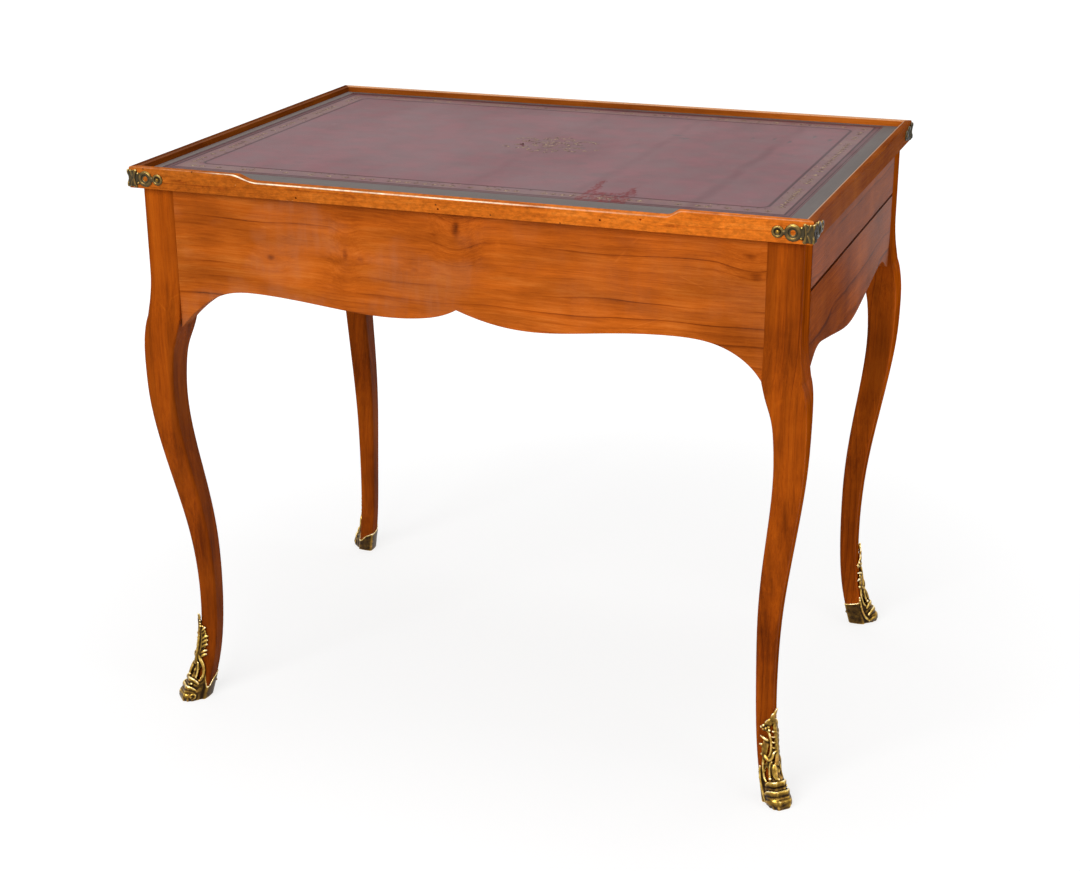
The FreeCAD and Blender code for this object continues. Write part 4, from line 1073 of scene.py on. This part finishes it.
def grid_cells(rows, columns):
    """The corners of each cell of a grid of points."""
    return [(i * columns + j, (i + 1) * columns + j, (i + 1) * columns + j + 1, i * columns + j + 1)
            for i in range(rows - 1) for j in range(columns - 1)]


def grid_edge(rows, columns):
    """The points round the edge of a grid, in order."""
    return ([i * columns for i in range(rows)] + [(rows - 1) * columns + j for j in range(1, columns)]
            + [i * columns + columns - 1 for i in range(rows - 2, -1, -1)] + list(range(columns - 2, 0, -1)))


grid_x, grid_y = np.meshgrid(groove_lines(LEATHER_HALF.x), groove_lines(LEATHER_HALF.y), indexing="ij")
inset_x = LEATHER_HALF.x / MM - np.abs(grid_x)
inset_y = LEATHER_HALF.y / MM - np.abs(grid_y)
inset = np.minimum(inset_x, inset_y)
past_x = INNER_LINE + INNER_RADIUS - inset_x
past_y = INNER_LINE + INNER_RADIUS - inset_y
inner = np.hypot(np.maximum(past_x, 0), np.maximum(past_y, 0))
inner = inner + np.minimum(np.maximum(past_x, past_y), 0) - INNER_RADIUS
level = (pressed(inset, OUTER_GROOVES, OUTER_GROOVE_WIDTH, OUTER_GROOVE_DEPTH)
         + pressed(inner, INNER_GROOVES, INNER_GROOVE_WIDTH, INNER_GROOVE_DEPTH))
level = level + leather_swell(grid_x, grid_y) - EDGE_DROP * np.clip(1 - inset, 0, 1) ** 2
top_points = np.stack((grid_x, grid_y, level), axis=-1).reshape(-1, 3) * MM
top_points += np.array((LEATHER_MIDDLE.x, LEATHER_MIDDLE.y, SKIN_LEVEL))
leather_edge = grid_edge(*grid_x.shape)
low_points = top_points[leather_edge].copy()
low_points[:, 2] = LEATHER_LOW.z
low_edge = [len(top_points) + i for i in range(len(leather_edge))]
leather_faces = grid_cells(*grid_x.shape)
leather_faces += zip(leather_edge, low_edge, low_edge[1:] + low_edge[:1],
                     leather_edge[1:] + leather_edge[:1])
leather_faces.append(low_edge[::-1])
leather_mesh = new_mesh("leather_skin", np.vstack((top_points, low_points)), faces=leather_faces)
for label, values in (("edge_distance", inset), ("line_distance", inner)):
    attribute = leather_mesh.attributes.new(label, "FLOAT", "POINT")
    attribute.data.foreach_set("value", np.concatenate((values.ravel(), np.zeros(len(low_edge)))))
leather_mesh.shade_smooth()
leather_mesh.update()
LEATHER_TONES = [(0.0, (0.096, 0.015, 0.022)), (0.5, (0.126, 0.021, 0.030)), (1.0, (0.156, 0.032, 0.043))]


def leather_material(name):
    """Old skiver: dull red where the glaze is scuffed, dark where fingers and polish have gone into it."""
    material, tree, shader = new_material(name)
    place = object_place(tree)
    edge, line = (wire(tree, "ShaderNodeAttribute", output="Fac", attribute_name=label)
                  for label in ("edge_distance", "line_distance"))
    mottle = noise(place, 26, 5.0, 0.65)
    streaks = noise(place, (22, 34, 60), 4.0, 0.6)
    grain = wire(tree, "ShaderNodeTexVoronoi", {"Vector": place, "Scale": 900.0})
    worn = ease(streaks * 0.5 + mottle * 0.5, 0.40, 0.66)
    wear_and_painted_light = place_group(tree, handling_wear, vector=place, patch_size=0.045)
    outer_band = ease(edge, 9.6, 11.0, 1.0, 0.0)
    gilt_band = ease(edge, 10.0, 12.5) * ease(edge, 31.0, 33.5, 1.0, 0.0)
    rubbed_gilt = gilt_band * ease(mottle, 0.42, 0.62, 0.12, 0.62)
    tooled = most(ease(abs(line), 0.5, 3.0, 0.72, 0.0), grooves_mask(edge))
    joints = board_joints(place)
    scuff, torn = scuffed_corner(place)
    marks = scratch_marks(place)
    colour = ramp(worn, LEATHER_TONES)
    for mask, laid_over in (
            (wear_and_painted_light["Rubbed"] * 0.30, (0.21, 0.075, 0.090)), (wear_and_painted_light["Grime"] * 0.35, (0.050, 0.008, 0.012)),
            (rubbed_gilt, (0.150, 0.080, 0.056)), (outer_band * 0.8, (0.070, 0.012, 0.014)),
            (tooled, (0.016, 0.006, 0.008)), (joints, (0.075, 0.008, 0.014)),
            (scuff, (0.180, 0.030, 0.031)), (torn, (0.040, 0.008, 0.010)), (marks, (0.025, 0.008, 0.010))):
        colour = mix_colour(mask, colour, laid_over)
    rough = mottle * 0.18 + 0.36 + scuff * 0.40 + tooled * 0.12 + joints * 0.05
    height = streaks * 0.6 - grain * 0.5 - most(torn, marks) * 1.5
    handled = noise(place + (0.7, 0.2, 0), (7, 3, 7), 3.0)
    dry = most(scuff, tooled, outer_band)
    glaze = mottle * 0.32 + 0.28 - worn * 0.10
    glaze = glaze * ease(handled, 0.34, 0.66, 0.76, 1.24) * ease(dry, 0.0, 1.0, 1.0, 0.55)
    polish(shader, colour, rough, height, 0.00012, glaze)
    return material


def grooves_mask(edge):
    """The pressed lines that run beside the leather's edge."""
    return most(0.0, *(ease(abs(edge - place), 0.3, 0.9, 0.8, 0.0) for place in OUTER_GROOVES))


BOARD_JOINTS = ((0.0, 0.30), (0.136, 0.45), (0.277, 0.60))


def board_joints(place):
    """Faint dark bands where the joints of the boards below have worked through the leather."""
    x, y, _ = parts(place)
    across = y * -0.038 + x + noise(place, 9, 3.0) * 0.030 - 0.015
    mask = most(0.0, *(ease(abs(across - joint), 0.001, 0.011, strength, 0.0)
                       for joint, strength in BOARD_JOINTS))
    return mask * ease(noise(place, 12, 3.0), 0.35, 0.6, 0.35, 1.0)


SCUFF_LEFT, SCUFF_RIGHT = 0.132, 0.189
SCUFF_BACK = -0.209
SCUFF_TONGUES = ((0.136, 0.013, 0.062), (0.182, 0.009, 0.042))


def scuffed_corner(place):
    """A patch at the front edge where the glaze is scuffed off in two tongues, with torn streaks in it."""
    ragged = noise(place, 70, 4.0, 0.7) * 0.020 - 0.010
    x, y = (part + ragged for part in parts(place)[:2])
    back = SCUFF_BACK
    for middle, half, reach in SCUFF_TONGUES:
        back = back + ease(abs(x - middle), 0.0, half, reach, 0.0)
    patch = ease(y - back, -0.006, 0.003, 1.0, 0.0) * ease(x, SCUFF_LEFT, SCUFF_LEFT + 0.003)
    patch = patch * ease(x, SCUFF_RIGHT, SCUFF_RIGHT + 0.008, 1.0, 0.0)
    mottled = ease(noise(place, (210, 80, 80), 5.0, 0.75), 0.38, 0.62, 0.06, 0.70)
    torn = ease(noise(place + (0.3, 0.1, 0), (240, 110, 110), 3.0, 0.6), 0.60, 0.67)
    return patch * mottled, torn * patch * 0.7


SCRATCHES = ((0.140, 0.137, 0.012, 0.006), (0.155, 0.120, 0.012, 0.005), (0.268, 0.154, 0.003, 0.012),
             (0.290, 0.141, 0.004, 0.013), (0.314, 0.184, 0.003, 0.011), (0.337, 0.171, 0.004, 0.012),
             (0.240, 0.150, 0.003, 0.006), (0.051, 0.018, 0.006, 0.004))


def scratch_marks(place):
    """A few small dents and nicks: place, half length and half width of each."""
    mask = 0.0
    ragged = noise(place, 300) * 1.4 - 0.7
    for x, y, long, wide in SCRATCHES:
        reach = maths("LENGTH", (place - (x, y, LEATHER_HIGH.z)) * (1 / long, 1 / wide, 0))
        mask = most(mask, ease(reach + ragged, 0.3, 0.9, 0.8, 0.0))
    return mask


leather = add_piece("leather_skin", leather_mesh, "top", leather_material("burgundy_leather"),
                    ["leather"])

# The tooling is gold leaf, pressed into the leather with hot stamps: quatrefoils between the wheeled
# lines, and a scrolled oval in the middle. Most of the leaf has been rubbed off, and the rest is brown.
WORN_GOLD_TONES = [(0.36, (0.036, 0.013, 0.013)), (0.46, (0.075, 0.024, 0.022)),
                   (0.54, (0.24, 0.145, 0.080)), (0.66, (0.55, 0.42, 0.23))]


def worn_gold(name):
    """Old gold leaf on leather, tan where it holds and brown where the size under it shows."""
    material, tree, shader = new_material(name)
    place = object_place(tree)
    flakes = noise(place, 1400)
    held = flakes * 0.5 + noise(place, 240, 3.0, 0.6) * 0.5
    polish(shader, ramp(held, WORN_GOLD_TONES), ease(held, 0.4, 0.7, 0.60, 0.40), flakes, 0.00004,
           ease(held, 0.42, 0.58, 0.19, 0.24))
    return material


stamp_tree, given = node_tree_for("tooled_stamps", [
    ("Spacing", "NodeSocketFloat", 0.012), ("Stamp Reach", "NodeSocketFloat", 0.003),
    ("Petals", "NodeSocketInt", 4), ("Kept Share", "NodeSocketFloat", 0.6), ("Seed", "NodeSocketInt", 1)])
petal = wire(stamp_tree, "GeometryNodeMeshUVSphere", {"Segments": 10, "Rings": 6, "Radius": 1.0})
petal = wire(stamp_tree, "GeometryNodeTransform", {"Geometry": petal, "Scale": (0.52, 0.36, 0.012)})
flower = wire(stamp_tree, "GeometryNodeMeshCircle", {"Vertices": given["Petals"], "Radius": 0.56})
outward = turned_along(stamp_tree, wire(stamp_tree, "GeometryNodeInputPosition"), "X")
flower = set_on_points(flower, petal, outward)
line = wire(stamp_tree, "GeometryNodeMeshToCurve", {"Mesh": given["Geometry"]})
line = wire(stamp_tree, "GeometryNodeResampleCurve", {"Curve": line, "Length": given["Spacing"]},
            mode="LENGTH")
along = turned_along(stamp_tree, wire(stamp_tree, "GeometryNodeInputTangent"), "X")
kept = wire(stamp_tree, "FunctionNodeRandomValue",
            {"Probability": given["Kept Share"], "Seed": given["Seed"]}, "Value", data_type="BOOLEAN")
stamped = set_on_points(line, flower, along, given["Stamp Reach"], Selection=kept)
close_tree(stamp_tree, stamped, worn_gold("tooling_gold"))
STAMP_LEVEL = LEATHER_HIGH.z - 0.00007


def tooled_line(name, runs):
    """Lines of tooling as edges on the leather; each run is its places, in mm from the leather's middle,
    and whether it is closed."""
    places, edges = [], []
    for points, closed in runs:
        first, count = len(places), len(points)
        places += [(x * MM + LEATHER_MIDDLE.x, y * MM + LEATHER_MIDDLE.y,
                    STAMP_LEVEL + leather_swell(x, y) * MM) for x, y in points]
        edges += [(first + i, first + (i + 1) % count) for i in range(count if closed else count - 1)]
    return new_mesh(name, places, edges)


def oval(half_x, half_y, count=48):
    turns = [2 * math.pi * i / count for i in range(count)]
    return [(half_x * math.cos(turn), half_y * math.sin(turn)) for turn in turns]


def scroll(start, way, turn_size, ways):
    """A C-scroll that winds in from its start, flipped by ways."""
    points = []
    for step in range(26):
        turned = way + step * 0.2
        size = turn_size * (1 - 0.026 * step)
        points.append((ways[0] * (start[0] + size * math.cos(turned)),
                       ways[1] * (start[1] + size * math.sin(turned))))
    return points


def edge_line(distance):
    """The line that runs round the leather at a distance in from its edge."""
    half_x, half_y = LEATHER_HALF.x / MM - distance, LEATHER_HALF.y / MM - distance
    return [(-half_x, -half_y), (half_x, -half_y), (half_x, half_y), (-half_x, half_y)]


QUARTERS = ((1, 1), (-1, 1), (-1, -1), (1, -1))
MEDALLION_ASIDE = 12
medallion = [(oval(9, 7, 24), True), (oval(23, 16), True)]
medallion += [(scroll((38, 17), 0.4, 17, ways), False) for ways in QUARTERS]
medallion += [(scroll((14, 36), 2.0, 12, ways), False) for ways in QUARTERS]
medallion.append(([(58, -12), (66, -14)], False))
medallion = [([(x + MEDALLION_ASIDE, y + MEDALLION_ASIDE) for x, y in points], closed)
             for points, closed in medallion]
TOOLING = [
    ("border_stamps", [(edge_line(21), True)],
     dict(spacing=0.0115, stamp_reach=0.0044, petals=4, kept_share=0.66, seed=3)),
    ("line_stamps", [(edge_line(31), True)],
     dict(spacing=0.0090, stamp_reach=0.0022, petals=3, kept_share=0.35, seed=8)),
    ("medallion_stamps", medallion,
     dict(spacing=0.0070, stamp_reach=0.0041, petals=3, kept_share=0.88, seed=5)),
]
for name, runs, sizes in TOOLING:
    add_piece(name, grown(name, stamp_tree, tooled_line(name + "_lines", runs), **sizes), "top")

# The underside of the top is lined with green baize, one napped woollen cloth glued on up to its cut
# edges, so that the top can be turned over for cards.
BAIZE_LOW, BAIZE_HIGH = (Vector(corner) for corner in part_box("baize"))
BAIZE_STEPS = (145, 97)
CUT_WANDER = 0.0005
CLOTH_HANG = 0.00015
across_x, across_y = np.meshgrid(*(np.linspace(-1, 1, steps) for steps in BAIZE_STEPS), indexing="ij")
baize_half = (BAIZE_HIGH - BAIZE_LOW) / 2
baize_middle = (BAIZE_HIGH + BAIZE_LOW) / 2
cut = CUT_WANDER * (1 + np.sin(across_x * 31) * np.sin(across_y * 23 + across_x * 9)) / 2
baize_x = baize_middle.x + across_x * (baize_half.x - cut)
baize_y = baize_middle.y + across_y * (baize_half.y - cut)
hang = CLOTH_HANG * (1 + np.sin(across_x * 14 + 2 * np.sin(across_y * 5)) * np.cos(across_y * 11)) / 2
lower = np.stack((baize_x, baize_y, BAIZE_LOW.z + hang), axis=-1).reshape(-1, 3)
upper = lower.copy()
upper[:, 2] = BAIZE_HIGH.z
above = len(lower)
cells = [(a, d, c, b) for a, b, c, d in grid_cells(*BAIZE_STEPS)]
baize_edge = grid_edge(*BAIZE_STEPS)
sides = [(a, b, b + above, a + above) for a, b in zip(baize_edge, baize_edge[1:] + baize_edge[:1])]
upper_cells = [[i + above for i in cell[::-1]] for cell in cells]
baize_mesh = new_mesh("baize_cloth", np.vstack((lower, upper)), faces=cells + sides + upper_cells)
baize_mesh.update()
BAIZE_TONES = [(0.30, (0.006, 0.026, 0.010)), (0.50, (0.014, 0.060, 0.024)), (0.72, (0.034, 0.105, 0.046))]


def felted(name):
    """Thick milled wool: a short nap brushed one way, thinned and faded where cards have slid."""
    material, tree, shader = new_material(name)
    place = object_place(tree)
    nap = noise(place, (1500, 900, 1500), 4.0, 0.7)
    brushed = noise(place, (90, 30, 90), 4.0, 0.6)
    wear_and_painted_light = place_group(tree, handling_wear, vector=place, patch_size=0.14)
    colour = ramp(nap * 0.5 + brushed * 0.5, BAIZE_TONES)
    colour = mix_colour(wear_and_painted_light["Rubbed"] * 0.35, colour, (0.060, 0.098, 0.045))
    set_inputs(shader, {"Sheen Weight": 0.15, "Sheen Roughness": 0.5})
    polish(shader, colour, ease(nap, 0.2, 0.8, 0.85, 0.95), nap, 0.00035, 0.1)
    return material


baize = add_piece("baize_cloth", baize_mesh, "top", felted("green_baize"), ["baize"])


# The stage is a plain pale floor under a white surround, lit by large soft lamps.
# The camera stands a little above the table, off its right front corner.
def soft_lamp(name, place, aim, size, power):
    lamp = bpy.data.lights.new(name, "AREA")
    lamp.shape = "RECTANGLE"
    lamp.size, lamp.size_y = size
    lamp.energy = power
    turn = (Vector(aim) - Vector(place)).to_track_quat("-Z", "Y")
    show(name, lamp).matrix_world = Matrix.Translation(place) @ turn.to_matrix().to_4x4()


def seen_directly(tree):
    """1 for what the camera sees, straight, mirrored or through glass; 0 for light that falls on the
    table."""
    path = new_node(tree, "ShaderNodeLightPath").outputs
    return most(*(Wire(path[f"Is {way} Ray"]) for way in ("Camera", "Glossy", "Transmission")))


TABLE_MIDDLE = (0, 0, 0.45)
TABLE_TOP = (0, 0, 0.7)
soft_lamp("key", (-0.5, -3.0, 2.2), TABLE_MIDDLE, (2.4, 1.8), 84)
soft_lamp("overhead", (0.1, 0.3, 2.9), TABLE_TOP, (2.4, 1.8), 26)
soft_lamp("fill", (2.8, -1.2, 1.3), TABLE_MIDDLE, (1.4, 1.4), 9)

WHITE = (1, 1, 1, 1)
SURROUND_ON_TABLE = 0.25
world = bpy.data.worlds.new("white_surround")
scene.world = world
world.use_nodes = True
brightness = ease(seen_directly(world.node_tree), 0.0, 1.0, SURROUND_ON_TABLE, 1.0)
set_inputs(world.node_tree.nodes["Background"], {"Strength": brightness, "Color": WHITE})

FLOOR_HALF = 14.0
FLOOR_NEAR, FLOOR_FAR = 0.5, 1.7
SHADED_GLOW_NEAR = 0.765
floor_corners = [(x * FLOOR_HALF, y * FLOOR_HALF, 0) for x, y in ((-1, -1), (1, -1), (1, 1), (-1, 1))]
floor_mesh = new_mesh("floor", floor_corners, faces=[(0, 1, 2, 3)])
floor = show("floor", floor_mesh)
floor_paper, tree, _ = new_material("floor_paper")
tree.nodes.clear()
matte = wire(tree, "ShaderNodeBsdfDiffuse", {"Color": (0.8, 0.8, 0.8, 1)})
faint = wire(tree, "ShaderNodeBsdfDiffuse", {"Color": (0.30, 0.30, 0.30, 1)})
# The floor glows dimmer near the table: a painted shadow round it, on top of the real shadow that its faint
# diffuse part keeps.
strength = ease(maths("LENGTH", object_place(tree)), FLOOR_NEAR, FLOOR_FAR, SHADED_GLOW_NEAR, 1.0)
glow_with_painted_shadow = wire(tree, "ShaderNodeEmission", {"Color": WHITE, "Strength": strength})
lit = wire(tree, "ShaderNodeAddShader", {0: faint, 1: glow_with_painted_shadow})
shown = wire(tree, "ShaderNodeMixShader", {0: seen_directly(tree), 1: matte, 2: lit})
new_node(tree, "ShaderNodeOutputMaterial", {0: shown})
floor_mesh.materials.append(floor_paper)

AZIMUTH, ELEVATION, ROLL = (math.radians(angle) for angle in (20.30, 20.27, -0.23))
CAMERA_PLACE = (0.8303, -2.2517, 1.2174)
LENS, SENSOR_WIDTH = 63.297, 36
level_out = math.cos(ELEVATION)
back = Vector((math.sin(AZIMUTH) * level_out, -math.cos(AZIMUTH) * level_out, math.sin(ELEVATION)))
right = Vector((math.cos(AZIMUTH), math.sin(AZIMUTH), 0))
up = back.cross(right)
across = right * math.cos(ROLL) + up * math.sin(ROLL)
upright = up * math.cos(ROLL) - right * math.sin(ROLL)
camera = show("camera", bpy.data.cameras.new("camera"))
camera.data.lens = LENS
camera.data.sensor_width = SENSOR_WIDTH
turn = Matrix((across, upright, back)).transposed().to_4x4()
camera.matrix_world = Matrix.Translation(CAMERA_PLACE) @ turn
scene.camera = camera
scene.view_settings.view_transform = "Standard"
